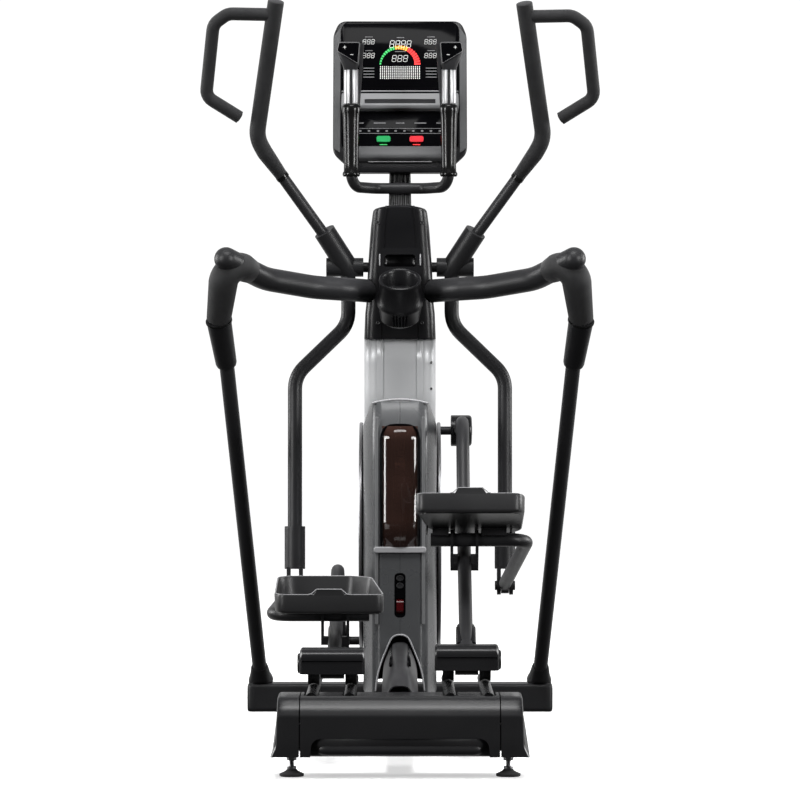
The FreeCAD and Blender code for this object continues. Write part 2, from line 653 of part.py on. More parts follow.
def make_pedal_arm(name, side):
    """The bent tube from the crank pin to the roller axle, with the two ears of the foot pivot."""
    frame = arm_pose(name)
    plane_x = "%d * track_x" % side
    bar = rod("arm_tube_" + name,
              [(plane_x, 0, 0), (plane_x, "-arm_peak_along", "arm_peak_up"),
               (plane_x, "-arm_knee_along", "arm_knee_up"), (plane_x, "-arm_long", 0)],
              "arm_radius", [150, 200], frame)
    pin_start = "(disc_inner + disc_thick + 0.5)"
    pin_long = "joint_cover_inner + 4 - %s" % pin_start
    pin_base = pin_start if side > 0 else "-(joint_cover_inner + 4)"
    pin = cylinder("crank_pin_" + name, "pin_radius", pin_long, (pin_base, 0, 0), RIGHT, frame)
    eye_base = "joint_cover_inner + 3" if side > 0 else "-(track_x + 18)"
    eye = cylinder("pin_eye_" + name, 21, "track_x + 15 - joint_cover_inner", (eye_base, 0, 0), RIGHT,
                   frame)
    hub = cylinder("roller_hub_" + name, 17, 50, ("%s - 25" % plane_x, "-arm_long", 0), RIGHT, frame)
    sleeve = cone("arm_sleeve_" + name, 21.5, 17, 42, (plane_x, "-arm_long + 34", 4.3), Vector(0, 1, 0.12),
                  frame)
    ears = []
    for sign in "-+":
        ear_x = "%s %s ear_offset - ear_thick / 2" % (plane_x, sign)
        round_end = cylinder("ear_round", "ear_radius", "ear_thick",
                             (ear_x, "-foot_pivot_along", "foot_pivot_up"), RIGHT, frame)
        web = box("ear_web", (ear_x, "-foot_pivot_along - ear_radius", "foot_pivot_up - 66"),
                  ("%s + ear_thick" % ear_x, "-foot_pivot_along + ear_radius", "foot_pivot_up"), frame)
        ears += [round_end, web]
    saddle = box("ear_saddle",
                 ("%s - ear_offset" % plane_x, "-foot_pivot_along - ear_radius", "foot_pivot_up - 66"),
                 ("%s + ear_offset" % plane_x, "-foot_pivot_along + ear_radius", "foot_pivot_up - 48"),
                 frame)
    solid = fuse("pedal_arm_solid_" + name, [bar, pin, eye, hub, sleeve, saddle] + ears)
    pivot_bore = cylinder("pivot_bore", "link_radius + running", 90,
                          ("%s - 45" % plane_x, "-foot_pivot_along", "foot_pivot_up"), RIGHT, frame)
    roller_bore = cylinder("roller_bore", "roller_axle_radius + running", 80,
                           ("%s - 40" % plane_x, "-arm_long", 0), RIGHT, frame)
    node(cut("pedal_arm_drilled_" + name, solid, [pivot_bore, roller_bore]), "pedal_arm_" + name)


def make_joint_cover(name, side):
    """A round cap over the arm's upper end, open on the crank's side and cut out for the tube."""
    frame = arm_pose(name)
    outer_base = "joint_cover_inner" if side > 0 else "-joint_cover_outer"
    cavity_base = "joint_cover_inner - 1" if side > 0 else "-joint_cover_outer + cover_wall"
    outer = cylinder("joint_cover_outer_" + name, "joint_cover_radius",
                     "joint_cover_outer - joint_cover_inner",
                     (outer_base, 0, 0), RIGHT, frame)
    cavity = cylinder("joint_cover_cavity_" + name, "joint_cover_radius - cover_wall",
                      "joint_cover_outer - joint_cover_inner - cover_wall + 1", (cavity_base, 0, 0), RIGHT,
                      frame)
    gap = cylinder("joint_cover_gap_" + name, "arm_radius + 1", 60, ("%d * track_x" % side, 0, 0),
                   point((0, "-arm_peak_along", "arm_peak_up")), frame)
    node(cut("joint_cover_shell_" + name, outer, [cavity, gap]), "joint_cover_" + name)


def make_roller_cover(name, side):
    """The hood over the two rollers of one carriage, open below, with a round end cap outside."""
    centre = roller_place(name)
    half, deep, low, high = 68.5, 42, 195, 249
    x_mid = num("track_x") * side
    outline = [(centre.y - deep, low), (centre.y - deep, high - 20), (centre.y - deep + 10, high - 5),
               (centre.y - deep + 22, high), (centre.y + deep - 22, high), (centre.y + deep - 10, high - 5),
               (centre.y + deep, high - 20), (centre.y + deep, low)]
    hollow = [(centre.y - deep + 3, low - 1), (centre.y - deep + 3, high - 21),
              (centre.y - deep + 12, high - 8),
              (centre.y - deep + 23, high - 3), (centre.y + deep - 23, high - 3),
              (centre.y + deep - 12, high - 8),
              (centre.y + deep - 3, high - 21), (centre.y + deep - 3, low - 1)]
    block = prism("hood_block_" + name, outline, "yz", x_mid - half, 2 * half)
    room = prism("hood_room_" + name, hollow, "yz", x_mid - half + 3, 2 * half - 6)
    cap_base = x_mid + half if side > 0 else x_mid - half - 6
    cap = cylinder("hood_cap_" + name, 21.5, 6, (cap_base, centre.y, centre.z + 16), RIGHT)
    wider = fuse("hood_outer_" + name, [block, cap])
    frame = arm_pose(name)
    gap = cylinder("hood_gap_" + name, 23, 120, ("%d * track_x" % side, "-arm_long", 0),
                   Vector(0, 1, 0.124), frame)
    relief = cylinder("hood_relief_" + name, 19, 54, (x_mid - 27, centre.y, centre.z), RIGHT)
    node(cut("hood_shell_" + name, wider, [room, gap, relief]), "roller_cover_" + name)


def make_foot_link(name, side):
    """The bent tube that carries the pedal: across under it, then forward to the swing arm."""
    frame = link_pose(name)
    places = mirror_x([("link_inner", 0, 0), ("link_corner", 0, 0), ("link_front", "link_long - 36", 0)],
                      side)
    bar = rod("link_tube_" + name, places, "link_radius", 42, frame)
    tongue_base = "link_front - tongue_half" if side > 0 else "-(link_front + tongue_half)"
    tongue = cylinder("link_tongue_" + name, "tongue_radius", "2 * tongue_half",
                      (tongue_base, "link_long", 0), RIGHT, frame)
    low_x, high_x = ("link_front - tongue_half", "link_front + tongue_half") if side > 0 else \
        ("-(link_front + tongue_half)", "-(link_front - tongue_half)")
    neck = box("link_neck_" + name, (low_x, "link_long - 44", "-tongue_radius + 5"),
               (high_x, "link_long", "tongue_radius - 5"), frame)
    saddles = []
    for near, far in ((72, 108), (180, 236)):
        low, high = (near, far) if side > 0 else (-far, -near)
        saddles.append(box("pedal_saddle", (low, -24, 6), (high, 24, "pedal_low"), frame))
    node(fuse("foot_link_solid_" + name, [bar, tongue, neck] + saddles), "foot_link_" + name)


def make_pedal(name, side):
    """The foot tray: a floor with a low wall all round, raised to a tab at the heel."""
    frame = link_pose(name)
    inner, outer = "pedal_inner", "pedal_outer"
    outline = [(inner, "pedal_rear + 26"), ("pedal_inner + 26", "pedal_rear"),
               ("pedal_outer - 34", "pedal_rear"),
               (outer, "pedal_rear + 40"), (outer, "pedal_front - 24"), ("pedal_outer - 24", "pedal_front"),
               ("pedal_inner + 70", "pedal_front"), ("pedal_inner + 26", "pedal_front - 40")]
    inside = [("pedal_inner + 4", "pedal_rear + 28"), ("pedal_inner + 28", "pedal_rear + 4"),
              ("pedal_outer - 36", "pedal_rear + 4"), ("pedal_outer - 4", "pedal_rear + 42"),
              ("pedal_outer - 4", "pedal_front - 26"), ("pedal_outer - 26", "pedal_front - 4"),
              ("pedal_inner + 72", "pedal_front - 4"), ("pedal_inner + 30", "pedal_front - 42")]
    if side < 0:
        outline = [("-(%s)" % across, along) for across, along in reversed(outline)]
        inside = [("-(%s)" % across, along) for across, along in reversed(inside)]
    block = prism("tray_block_" + name, outline, "xy", "pedal_low", "pedal_wall", frame)
    hollow = prism("tray_hollow_" + name, inside, "xy", "pedal_low + pedal_floor", "pedal_wall", frame)
    tray = cut("tray_open_" + name, block, hollow)
    middle = "%d * (pedal_inner + pedal_outer) / 2" % side
    tab = prism("heel_tab_" + name, [("%s - pedal_notch_half - 12" % middle, "pedal_low + pedal_wall - 8"),
                                     ("%s + pedal_notch_half + 12" % middle, "pedal_low + pedal_wall - 8"),
                                     ("%s + pedal_notch_half" % middle,
                                      "pedal_low + pedal_wall + pedal_notch"),
                                     ("%s - pedal_notch_half" % middle,
                                      "pedal_low + pedal_wall + pedal_notch")],
                "xz", "pedal_rear + 4", 4, frame)
    node(fuse("pedal_tray_" + name, [tray, tab]), "pedal_" + name)


# ---------------------------------------------------------------- swing arms

def make_pivot_axle():
    axle = cylinder("pivot_bar", "pivot_radius", "2 * hub_outer - 4",
                    ("-hub_outer + 2", "pivot_y", "pivot_z"), RIGHT)
    node(axle, "pivot_axle")


def upper_place(across, height):
    """A place on the upper arm, which leans towards the user as it rises."""
    return (across, "-upper_lean * (%s - pivot_z)" % height, "%s - pivot_z" % height)


def make_swing_arm(name, side):
    """Hub, lower tube, fork and the bare upper tube, welded as one piece."""
    frame = swing_pose(name)
    end = link_pose(name).multVec(point((0, "link_long", 0)))
    reach = (end - frame.Base).Length
    hub_base = "hub_inner" if side > 0 else "-hub_outer"
    hub = cylinder("swing_hub_" + name, "hub_radius", "hub_outer - hub_inner", (hub_base, 0, 0), RIGHT,
                   frame)
    lower = rod("swing_lower_" + name,
                mirror_x([("swing_inner_x", 0, -8), ("swing_inner_x", 0, "swing_bend_high - pivot_z"),
                                                 ("swing_outer_x", 0, "swing_bend_low - pivot_z"),
                                                 ("swing_outer_x", 0, -reach + 70)], side), "swing_radius",
                                                 70, frame)
    sleeve = cylinder("fork_sleeve_" + name, "fork_radius", "fork_top - arm_end_z - 40",
                      ("%d * swing_outer_x" % side, 0, -reach + 40), UP, frame)
    cheeks = []
    gap = "(tongue_half + 1)"
    for inner in ("swing_outer_x - %s - cheek_thick" % gap, "swing_outer_x + %s" % gap):
        start = inner if side > 0 else "-(%s) - cheek_thick" % inner
        cheeks.append(cylinder("cheek_round", "cheek_radius", "cheek_thick", (start, 0, -reach), RIGHT,
                               frame))
        cheeks.append(box("cheek_plate", (start, "-cheek_radius", -reach),
                          ("%s + cheek_thick" % start, "cheek_radius", -reach + 44), frame))
    head_base = "swing_outer_x + tongue_half + 1 + cheek_thick"
    bolt_heads = []
    for start in (head_base, "swing_outer_x - tongue_half - 1 - cheek_thick - 5"):
        low = start if side > 0 else "-(%s) - 5" % start
        bolt_heads.append(cylinder("cheek_bolt", 11, 5, (low, 0, -reach), RIGHT, frame))
    route = upper_route()
    bare = rod("swing_upper_" + name, mirror_x(route, side), "upper_radius", [30, 42], frame)
    socket_end = upper_place(179, 1171)
    socket_start = upper_place(113, 1070)
    socket = cylinder("upper_sleeve_" + name, "upper_sleeve_radius",
                      (point(socket_end) - point(socket_start)).Length,
                      mirror_x([socket_start], side)[0],
                      point(mirror_x([socket_end], side)[0]) - point(mirror_x([socket_start], side)[0]),
                      frame)
    loop = rod("loop_core_" + name, mirror_x(loop_route(), side), "loop_core", loop_bends(), frame)
    solid = fuse("swing_arm_solid_" + name, [hub, lower, sleeve, bare, socket, loop] + cheeks + bolt_heads)
    bore = cylinder("hub_bore_" + name, "pivot_radius + running", "hub_outer - hub_inner + 60",
                    ("hub_inner - 30" if side > 0 else "-hub_outer - 30", 0, 0), RIGHT, frame)
    slot = box("fork_slot_" + name,
               mirror_low(side, "swing_outer_x", "(tongue_half + 1)", "-60", -reach - 30),
               mirror_high(side, "swing_outer_x", "(tongue_half + 1)", "60", -reach + 38), frame)
    arm = cut("swing_arm_machined_" + name, solid, [bore, slot])
    node(arm, "swing_arm_" + name)
    return arm


def mirror_low(side, middle, half, forward, up):
    return ("%d * %s - %s" % (side, middle, half), forward, up)


def mirror_high(side, middle, half, forward, up):
    return ("%d * %s + %s" % (side, middle, half), forward, up)


def upper_route():
    return [upper_place(128, 1093), upper_place(318, 1352), upper_place(337, 1386), upper_place(288, 1680)]


def grip_route():
    return [upper_place(279, 1299), upper_place(318, 1352), upper_place(337, 1386), upper_place(288, 1690)]


def loop_route():
    return [upper_place(296, 1661), upper_place(400, 1663), upper_place(434, 1640), upper_place(454, 1478),
            upper_place(376, 1431)]


def loop_bends():
    return [30, 30, 30]


def make_swing_grip(name, side, arm):
    """The foam sleeve on the upper arm, with its looped second hand position."""
    frame = swing_pose(name)
    main = rod("grip_foam_" + name, mirror_x(grip_route(), side), "grip_radius", [30, 42], frame)
    loop = rod("loop_foam_" + name, mirror_x(loop_route(), side), "loop_radius", loop_bends(), frame)
    foam = fuse("grip_solid_" + name, [main, loop])
    node(cut("grip_sleeve_" + name, foam, arm), "swing_grip_" + name)


# ---------------------------------------------------------------- side frames and covers

def handrail_route():
    return [("elbow_x", "elbow_y", "elbow_z"), (314, 250, 1055), (200, 318, 1037), (108, 345, 1032),
            ("handrail_root_x + 26", "%s - 20" % mast_y("1030"), 1030),
            ("handrail_root_x", mast_y("1030"), 1030)]


def make_side_frame(name, side):
    """One bent tube from the front crossbar, up past the user's side and in to the mast."""
    pole = rod("side_pole_" + name,
               mirror_x([("pole_foot_x", "pole_foot_y", "crossbar_tall"),
                         ("pole_knee_x", "pole_knee_y", "pole_knee_z"),
                         ("pole_hip_x", "pole_hip_y", "pole_hip_z"), ("elbow_x", "elbow_y", "elbow_z")],
                         side),
               "pole_radius", [300, 200])
    rail = rod("handrail_" + name, mirror_x(handrail_route(), side), "handrail_radius", [120, 160, 90, 8])
    ball = doc.addObject("Part::Sphere", "elbow_ball_" + name)
    bind(ball, Radius="handrail_radius")
    ball.Placement = Placement(point(mirror_x([("elbow_x", "elbow_y", "elbow_z")], side)[0]), Rotation())
    frame = fuse("side_frame_solid_" + name, [pole, rail, ball])
    node(frame, "side_frame_" + name)
    return frame


def make_elbow_grips(frames):
    """A soft pad over each elbow of the side frame, and the sleeve under it."""
    pads, sleeves = [], []
    for name, side in SIDES.items():
        elbow = point(mirror_x([("elbow_x", "elbow_y", "elbow_z")], side)[0])
        hip = point(mirror_x([("pole_hip_x", "pole_hip_y", "pole_hip_z")], side)[0])
        knee = point(mirror_x([("pole_knee_x", "pole_knee_y", "pole_knee_z")], side)[0])
        inward = point(mirror_x([(314, 250, 1055)], side)[0])
        start = elbow + (inward - elbow) * 0.62
        main = rod("elbow_pad_" + name, [tuple(start), tuple(elbow), tuple(hip)], 32, 40)
        pads.append(cut("elbow_pad_sleeve_" + name, main, frames[name]))
        top = hip
        bottom = hip + (knee - hip) * 0.95
        sleeve = rod("pole_sleeve_" + name, [tuple(top), tuple(bottom)], 29, [])
        sleeves.append(cut("pole_sleeve_bored_" + name, sleeve, frames[name]))
    node(group("elbow_grips_group", pads + sleeves), "elbow_grips")


def make_shroud():
    """Two moulded halves round the crank's inner side and the flywheel, joined on the centre plane."""
    profile = [("shroud_rear", "shroud_low"), ("shroud_rear", 700), ("shroud_rear + 35", "shroud_high"),
               (415, "shroud_high"),
               (428, 706), (600, 690), (730, 580), ("shroud_front", 440), (745, 230), (690, "shroud_low")]
    inside = [("shroud_rear + 3", "shroud_low + 3"), ("shroud_rear + 3", 699),
              ("shroud_rear + 37", "shroud_high - 3"),
              (412, "shroud_high - 3"), (425, 703), (598, 687), (728, 578), ("shroud_front - 3", 439),
              (742, 231), (688, "shroud_low + 3")]
    for name, side in SIDES.items():
        wide, thick = num("shroud_half"), num("cover_wall")
        block = prism("shroud_block_" + name, profile, "yz", 0.2 if side > 0 else -wide, wide - 0.2)
        room = prism("shroud_room_" + name, inside, "yz", -1 if side > 0 else -wide + thick,
                     wide - thick + 1)
        plan = [(0, "shroud_rear - 2"), ("shroud_rear_half", "shroud_rear - 2"),
                ("shroud_half", "shroud_rear + 110"),
                ("shroud_half", "shroud_front + 2"), (0, "shroud_front + 2")]
        plan_in = [(-1, "shroud_rear - 3"), ("shroud_rear_half - cover_wall", "shroud_rear - 3"),
                   ("shroud_half - cover_wall", "shroud_rear + 110"),
                   ("shroud_half - cover_wall", "shroud_front + 3"),
                   (-1, "shroud_front + 3")]
        if side < 0:
            plan = [("-(%s)" % across, along) for across, along in reversed(plan)]
            plan_in = [("-(%s)" % across, along) for across, along in reversed(plan_in)]
        outer = common("shroud_outer_" + name, block, prism("shroud_plan_" + name, plan, "xy", 0, 900))
        inner = common("shroud_inner_" + name, room, prism("shroud_plan_in_" + name, plan_in, "xy", 0, 900))
        axle_hole = cylinder("shroud_axle_hole_" + name, 20, 40,
                             (60 if side > 0 else -100, "crank_y", "crank_z"), RIGHT)
        window = box("shroud_window_hole_" + name, ("-window_half", "shroud_rear - 5", "window_low"),
                     ("window_half", "shroud_rear + 12", "window_high"))
        arch = box("shroud_arch_" + name, ("-spine_half - 3", "shroud_rear - 5", "shroud_low - 5"),
                   ("spine_half + 3", "spine_front + 3", "spine_high + 8"))
        slot = box("shroud_slot_" + name, (-13, "shroud_rear - 5", 276), (13, "shroud_rear + 12", 378))
        foot = box("shroud_mast_gap_" + name,
                   ("-mast_half - 2", mast_y("shroud_low") + " - 36", "shroud_low - 5"),
                   ("mast_half + 2", mast_y("shroud_low") + " + 36", "shroud_low + 8"))
        head = box("shroud_head_gap_" + name, ("-mast_half - 2", 440, 660), ("mast_half + 2", 585, 720))
        node(cut("shroud_shell_" + name, outer, [inner, axle_hole, window, arch, slot, foot, head]),
             "shroud_" + name)


def make_shroud_parts():
    window = box("window_block", ("-window_half + 0.2", "shroud_rear + 0.5", "window_low + 0.2"),
                 ("window_half - 0.2", "shroud_rear + 2.5", "window_high - 0.2"))
    node(window, "shroud_window")
    plate = box("switch_plate", (-12.8, "shroud_rear + 3.2", 276.2), (12.8, "shroud_rear + 8", 377.8))
    mouth = box("switch_mouth", (-9.5, "shroud_rear", 283), (9.5, "shroud_rear + 10", 321))
    node(cut("switch_plate_open", plate, mouth), "switch_panel")
    rocker = cylinder("rocker_round", 19, 16, (-8, "shroud_rear + 18", 302), RIGHT)
    trim = box("rocker_trim", (-9, "shroud_rear + 1.6", 284.5), (9, "shroud_rear + 16", 319.5))
    node(common("rocker_body", rocker, trim), "power_rocker")


def make_mast_cover():
    """The silver cover on the mast between the shroud and the black housing."""
    def shell(name, half, deep, low, high):
        return lofted(name, [(0, mast_y(low), low), (0, mast_y(high), high)],
                      [(half, deep), (half, deep)], 24)
    outer = shell("mast_cover_block", "mast_cover_half", 58, "mast_cover_low", "housing_low - 1")
    inner = shell("mast_cover_room", "mast_cover_half - cover_wall", 55, "mast_cover_low - 2",
                  "housing_low + 1")
    node(cut("mast_cover_shell", outer, inner), "mast_cover")


def make_upper_housing(side_frames):
    low_y, high_y = mast_y("housing_low"), mast_y("housing_high")
    places = [(0, low_y, "housing_low"), (0, high_y, "housing_high")]
    block = lofted("housing_block", places, [("housing_low_half", 80), ("housing_high_half", 62)], 20)
    room = lofted("housing_room",
                  [(0, low_y, "housing_low - 1"), (0, high_y, "housing_high - housing_wall")],
                  [("housing_low_half - housing_wall", 77), ("housing_high_half - housing_wall", 59)], 18)
    liner = box("pocket_liner", (-44, 340, 1083), (44, 392, 1120))
    room = cut("housing_room_lined", room, liner)
    pocket = box("housing_pocket", (-40, 330, 1087), (40, 388, 1116))
    axle_gap = cylinder("housing_axle_gap", "pivot_radius + 1", 240, (-120, "pivot_y", "pivot_z"), RIGHT)
    mast_gap = box("housing_mast_gap",
                   ("-mast_half - 1", mast_y("housing_high") + " - 36", "housing_high - 8"),
                   ("mast_half + 1", mast_y("housing_high") + " + 38", "housing_high + 2"))
    tools = [room, pocket, axle_gap, mast_gap] + list(side_frames)
    node(cut("housing_shell", block, tools), "upper_housing")


def make_cup_holder():
    """A ribbed cup on the housing's user side; its mouth tips towards the user."""
    frame = Placement(point((0, "cup_y", "cup_z")), Rotation(RIGHT, num("cup_tilt")))
    outer = cone("cup_outer", "cup_radius + cup_wall - 14", "cup_radius + cup_wall", "cup_deep + 6",
                 (0, 0, "-cup_deep - 6"), UP, frame)
    well = cone("cup_well", "cup_radius - 12", "cup_radius", "cup_deep", (0, 0, "-cup_deep"), UP, frame)
    arm = box("cup_arm", (-28, "cup_y", "cup_z - 70"), (28, 372, "cup_z - 22"))
    top = cylinder("cup_lid_space", 90, 60, (0, 0, 0), UP, frame)
    shape = fuse("cup_solid", [outer, arm])
    node(cut("cup_hollowed", shape, [well, top]), "cup_holder")


def console_frame():
    return Placement(point((0, "console_y", "console_z")), Rotation(RIGHT, -num("console_tilt")))


def key_block(name, sign, gap, span, frame):
    """A block the size of a key, grown by a gap all round, between two depths of the console."""
    middle = "%d * key_across" % sign
    return box(name,
               ("%s - key_half_wide - %s" % (middle, gap), span[0], "key_up - key_half_tall - %s" % gap),
               ("%s + key_half_wide + %s" % (middle, gap), span[1], "key_up + key_half_tall + %s" % gap),
               frame)


def key_holes(name, frame):
    return [key_block(name, sign, "key_gap", ("-bezel_deep - 14", "-bezel_deep + 8"),
                      frame) for sign in (-1, 1)]


def make_console():
    """The display: back shell, front bezel, screen, key panel and two sprung buttons."""
    frame = console_frame()
    half, tall = "console_half", "console_tall / 2"
    outer = box("console_block", ("-console_half", 0, "-console_tall / 2"), (half, "console_deep", tall),
                frame)
    outer = fillet("console_rounded", outer, 16,
                   lambda edge: abs(edge.BoundBox.YLength) > 20 and edge.Length < 60)
    room = box("console_room", ("-console_half + 3", -1, "-console_tall / 2 + 3"),
               ("console_half - 3", "console_deep - 3", "console_tall / 2 - 3"), frame)
    stem_gap = box("console_stem_gap", (-26, 8, "-console_tall / 2 - 5"),
                   (26, 40, "-console_tall / 2 + 30"), frame)
    node(cut("console_shell", outer, [room, stem_gap]), "console_back")
    bezel = box("bezel_block", ("-console_half", "-bezel_deep", "-console_tall / 2"), (half, 0, tall),
                frame)
    screen_hole = box("screen_hole", (-132, "-bezel_deep - 1", 8), (132, "-bezel_deep + 3", 178), frame)
    panel_hole = box("panel_hole", (-132, "-bezel_deep - 1", -172), (132, "-bezel_deep + 3", -62), frame)
    shelf = box("shelf_block", (-120, "-bezel_deep - 14", -52), (120, "-bezel_deep + 2", -42), frame)
    holes = key_holes("key_hole", frame)
    bezel = cut("bezel_open", fuse("bezel_with_shelf", [bezel, shelf]), [screen_hole, panel_hole] + holes)
    node(bezel, "console_bezel")
    screen = box("screen_block", (-131.5, "-bezel_deep + 0.2", 8.5), (131.5, "-bezel_deep + 2.8", 177.5),
                 frame)
    node(screen, "console_screen")
    panel = box("panel_block", (-131.5, "-bezel_deep + 0.2", -171.5), (131.5, "-bezel_deep + 2.8", -62.5),
                frame)
    node(cut("panel_open", panel, key_holes("panel_key_hole", frame)), "key_panel")
    for label, sign in (("start_button", -1), ("stop_button", 1)):
        cap = key_block(label + "_block", sign, 0, ("-bezel_deep - 4", "-bezel_deep + 5.5"), frame)
        node(fillet(label + "_cap", cap, 5, runs_along(frame.Rotation.multVec(FORWARD))), label)


def make_console_stem():
    """The ribbed neck between the housing and the console."""
    top_y = "console_y - 20"
    block = lofted("stem_block", [(0, mast_y("housing_high"), "housing_high + 0.5"), (0, top_y, 1318)],
                   [(25, 24), (25, 14)], 8)
    node(block, "console_stem")


def make_pulse_bar():
    """The fixed grip bar under the console, with its rubber grips, sensors and key heads."""
    half_route = [("pulse_x", "pulse_y", "sensor_high + 40"), ("pulse_x", "pulse_y", "pulse_low"),
                  (58, 376, "pulse_low")]
    route = mirror_x(half_route, 1) + mirror_x(list(reversed(half_route)), -1)
    bar = rod("pulse_tube", route, "pulse_radius", [34, 30, 30, 34])
    bracket = box("pulse_bracket", (-18, 376, "pulse_low - 10"), (18, 392, "pulse_low + 10"))
    node(fuse("pulse_bar_body", [bar, bracket]), "pulse_bar")
    grips, plates, heads = [], [], []
    for side in SIDES.values():
        foot = ("%d * pulse_x" % side, "pulse_y", "pulse_grip_low")
        grips.append(turned("pulse_grip",
                            [(0, "pulse_radius + 0.2"), (0, "pulse_grip_radius"),
                             ("pulse_grip_high - pulse_grip_low", "pulse_grip_radius"),
                                           ("pulse_grip_high - pulse_grip_low", "pulse_radius + 0.2")],
                                           foot, UP))
        sensor_foot = ("%d * pulse_x" % side, "pulse_y", "pulse_grip_high + 12")
        sensor_long = "sensor_high - pulse_grip_high - 12"
        ring = turned("sensor_ring",
                      [(0, "pulse_radius + 0.2"), (0, "pulse_grip_radius - 1"),
                       (sensor_long, "pulse_grip_radius - 1"),
                                      (sensor_long, "pulse_radius + 0.2")], sensor_foot, UP)
        gap = box("sensor_gap", ("%d * pulse_x - 2" % side, "pulse_y - 40", "pulse_grip_high"),
                  ("%d * pulse_x + 2" % side, "pulse_y + 40", "sensor_high + 5"))
        plates.append(cut("sensor_pair", ring, gap))
        head_half = 27
        head_x = "%d * (pulse_x + 4)" % side
        head = box("head_block", ("%s - %d" % (head_x, head_half), "pulse_y - 22", "sensor_high + 2"),
                   ("%s + %d" % (head_x, head_half), "pulse_y + 22", "sensor_high + 64"))
        head = fillet("head_rounded", head, 10, runs_along(UP))
        socket = cylinder("head_socket", "pulse_radius + 0.2", 60,
                          ("%d * pulse_x" % side, "pulse_y", "sensor_high - 18"))
        heads.append(cut("head_bored", head, socket))
    node(group("pulse_grips_group", grips), "pulse_grips")
    node(group("pulse_sensors_group", plates), "pulse_sensors")
    node(group("pulse_heads_group", heads), "pulse_heads")


def check_and_write():
    """Refuse a failed object or a bad shape, then write one STEP file for each node."""
    doc.recompute()
    failed = [item.Name for item in doc.Objects if "Invalid" in item.State or "Error" in item.State]
    if failed:
        raise RuntimeError("failed objects: " + ", ".join(failed))
    for item in NODES:
        if item.Shape.isNull() or not item.Shape.isValid() or not item.Shape.Solids:
            raise RuntimeError("bad shape: " + item.Label)
    os.makedirs("parts", exist_ok=True)
    for item in NODES:
        item.Shape.exportStep("parts/%s.step" % item.Label)
        print(item.Label, len(item.Shape.Solids), round(item.Shape.Volume / 1000))
    whole = FreeCAD.BoundBox()
    for item in NODES:
        whole.add(item.Shape.BoundBox)
    print(len(NODES), "nodes; box",
          [round(value, 2) for value in (whole.XMin, whole.YMin, whole.ZMin, whole.XMax, whole.YMax,
                                         whole.ZMax)])


def main():
    fill_sheet()
    make_base_frame()
    make_rails()
    make_front_crossbar()
    frames = {name: make_side_frame(name, side) for name, side in SIDES.items()}
    make_crossbar_caps({side: frames[name] for name, side in SIDES.items()})
    make_rear_cover()
    make_rear_handle()
    make_feet()
    make_spine_cover()
    make_mast()
    make_crank_bearings()
    make_crank()
    make_flywheel()
    make_belt()
    for name, side in SIDES.items():
        make_roller_set(name, side)
        make_pedal_arm(name, side)
        make_joint_cover(name, side)
        make_roller_cover(name, side)
        make_foot_link(name, side)
        make_pedal(name, side)
        swing = make_swing_arm(name, side)
        make_swing_grip(name, side, swing)
    make_pivot_axle()
    make_elbow_grips(frames)
    make_shroud()
    make_shroud_parts()
    make_mast_cover()
    make_upper_housing(frames.values())
    make_cup_holder()
    make_console()
    make_console_stem()
    make_pulse_bar()
    check_and_write()


main()
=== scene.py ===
"""Looks of an elliptical trainer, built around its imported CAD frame.

Units are metres. +X is the user's right, +Y forward, +Z up; the floor is at Z = 0.
"""
import json
import math

import bmesh
import bpy
from mathutils import Matrix, Vector


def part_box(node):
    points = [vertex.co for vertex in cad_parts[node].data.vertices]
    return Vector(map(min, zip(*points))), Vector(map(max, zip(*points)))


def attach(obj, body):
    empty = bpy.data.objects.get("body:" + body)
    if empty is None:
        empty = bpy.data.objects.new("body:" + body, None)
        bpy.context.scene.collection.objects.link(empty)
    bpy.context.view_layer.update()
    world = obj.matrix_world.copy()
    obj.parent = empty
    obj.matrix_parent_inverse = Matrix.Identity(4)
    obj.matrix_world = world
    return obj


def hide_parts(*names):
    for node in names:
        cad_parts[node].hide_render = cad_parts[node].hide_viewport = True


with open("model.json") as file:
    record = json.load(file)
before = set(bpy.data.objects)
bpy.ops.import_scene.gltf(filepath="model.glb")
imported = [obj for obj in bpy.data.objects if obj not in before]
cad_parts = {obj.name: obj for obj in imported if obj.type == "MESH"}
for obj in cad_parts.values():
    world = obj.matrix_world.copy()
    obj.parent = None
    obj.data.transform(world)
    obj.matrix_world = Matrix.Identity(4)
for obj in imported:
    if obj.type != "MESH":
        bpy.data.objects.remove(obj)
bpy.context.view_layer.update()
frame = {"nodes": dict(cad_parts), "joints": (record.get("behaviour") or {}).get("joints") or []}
NODES = frame["nodes"]
SIDES = {"left": -1, "right": 1}
MATERIALS = {}
X_AXIS = Vector((1, 0, 0))
Z_AXIS = Vector((0, 0, 1))
FACE_X = Matrix(((0, 0, 1, 0), (1, 0, 0, 0), (0, 1, 0, 0), (0, 0, 0, 1)))   # (y, z) outlines, deep along X
SHARP_ANGLE = 35.0                           # degrees: faces that meet at more keep a sharp edge
PRINTED = 0.0003                             # how far a printed or lit mark stands off its panel
TRACK_X = 0.143                              # a track's middle, from the machine's centre plane
RAIL_OFFSET = 0.0395                         # a rail's middle, from its track's middle
KEY_X = 0.039                                # a key's middle, from the machine's centre plane
LABEL_X = 0.074                              # the middle of a column of labels on the screen


# ---------------------------------------------------------------- materials

def principled(name, colour, roughness, **sockets):
    """A material with one Principled shader; sockets are set by their own names."""
    material = bpy.data.materials.new(name)
    material.use_nodes = True
    shader = material.node_tree.nodes["Principled BSDF"]
    shader.inputs["Base Color"].default_value = (*colour, 1)
    shader.inputs["Roughness"].default_value = roughness
    for socket, value in sockets.items():
        shader.inputs[socket.replace("_", " ")].default_value = value
    MATERIALS[name] = material
    return material


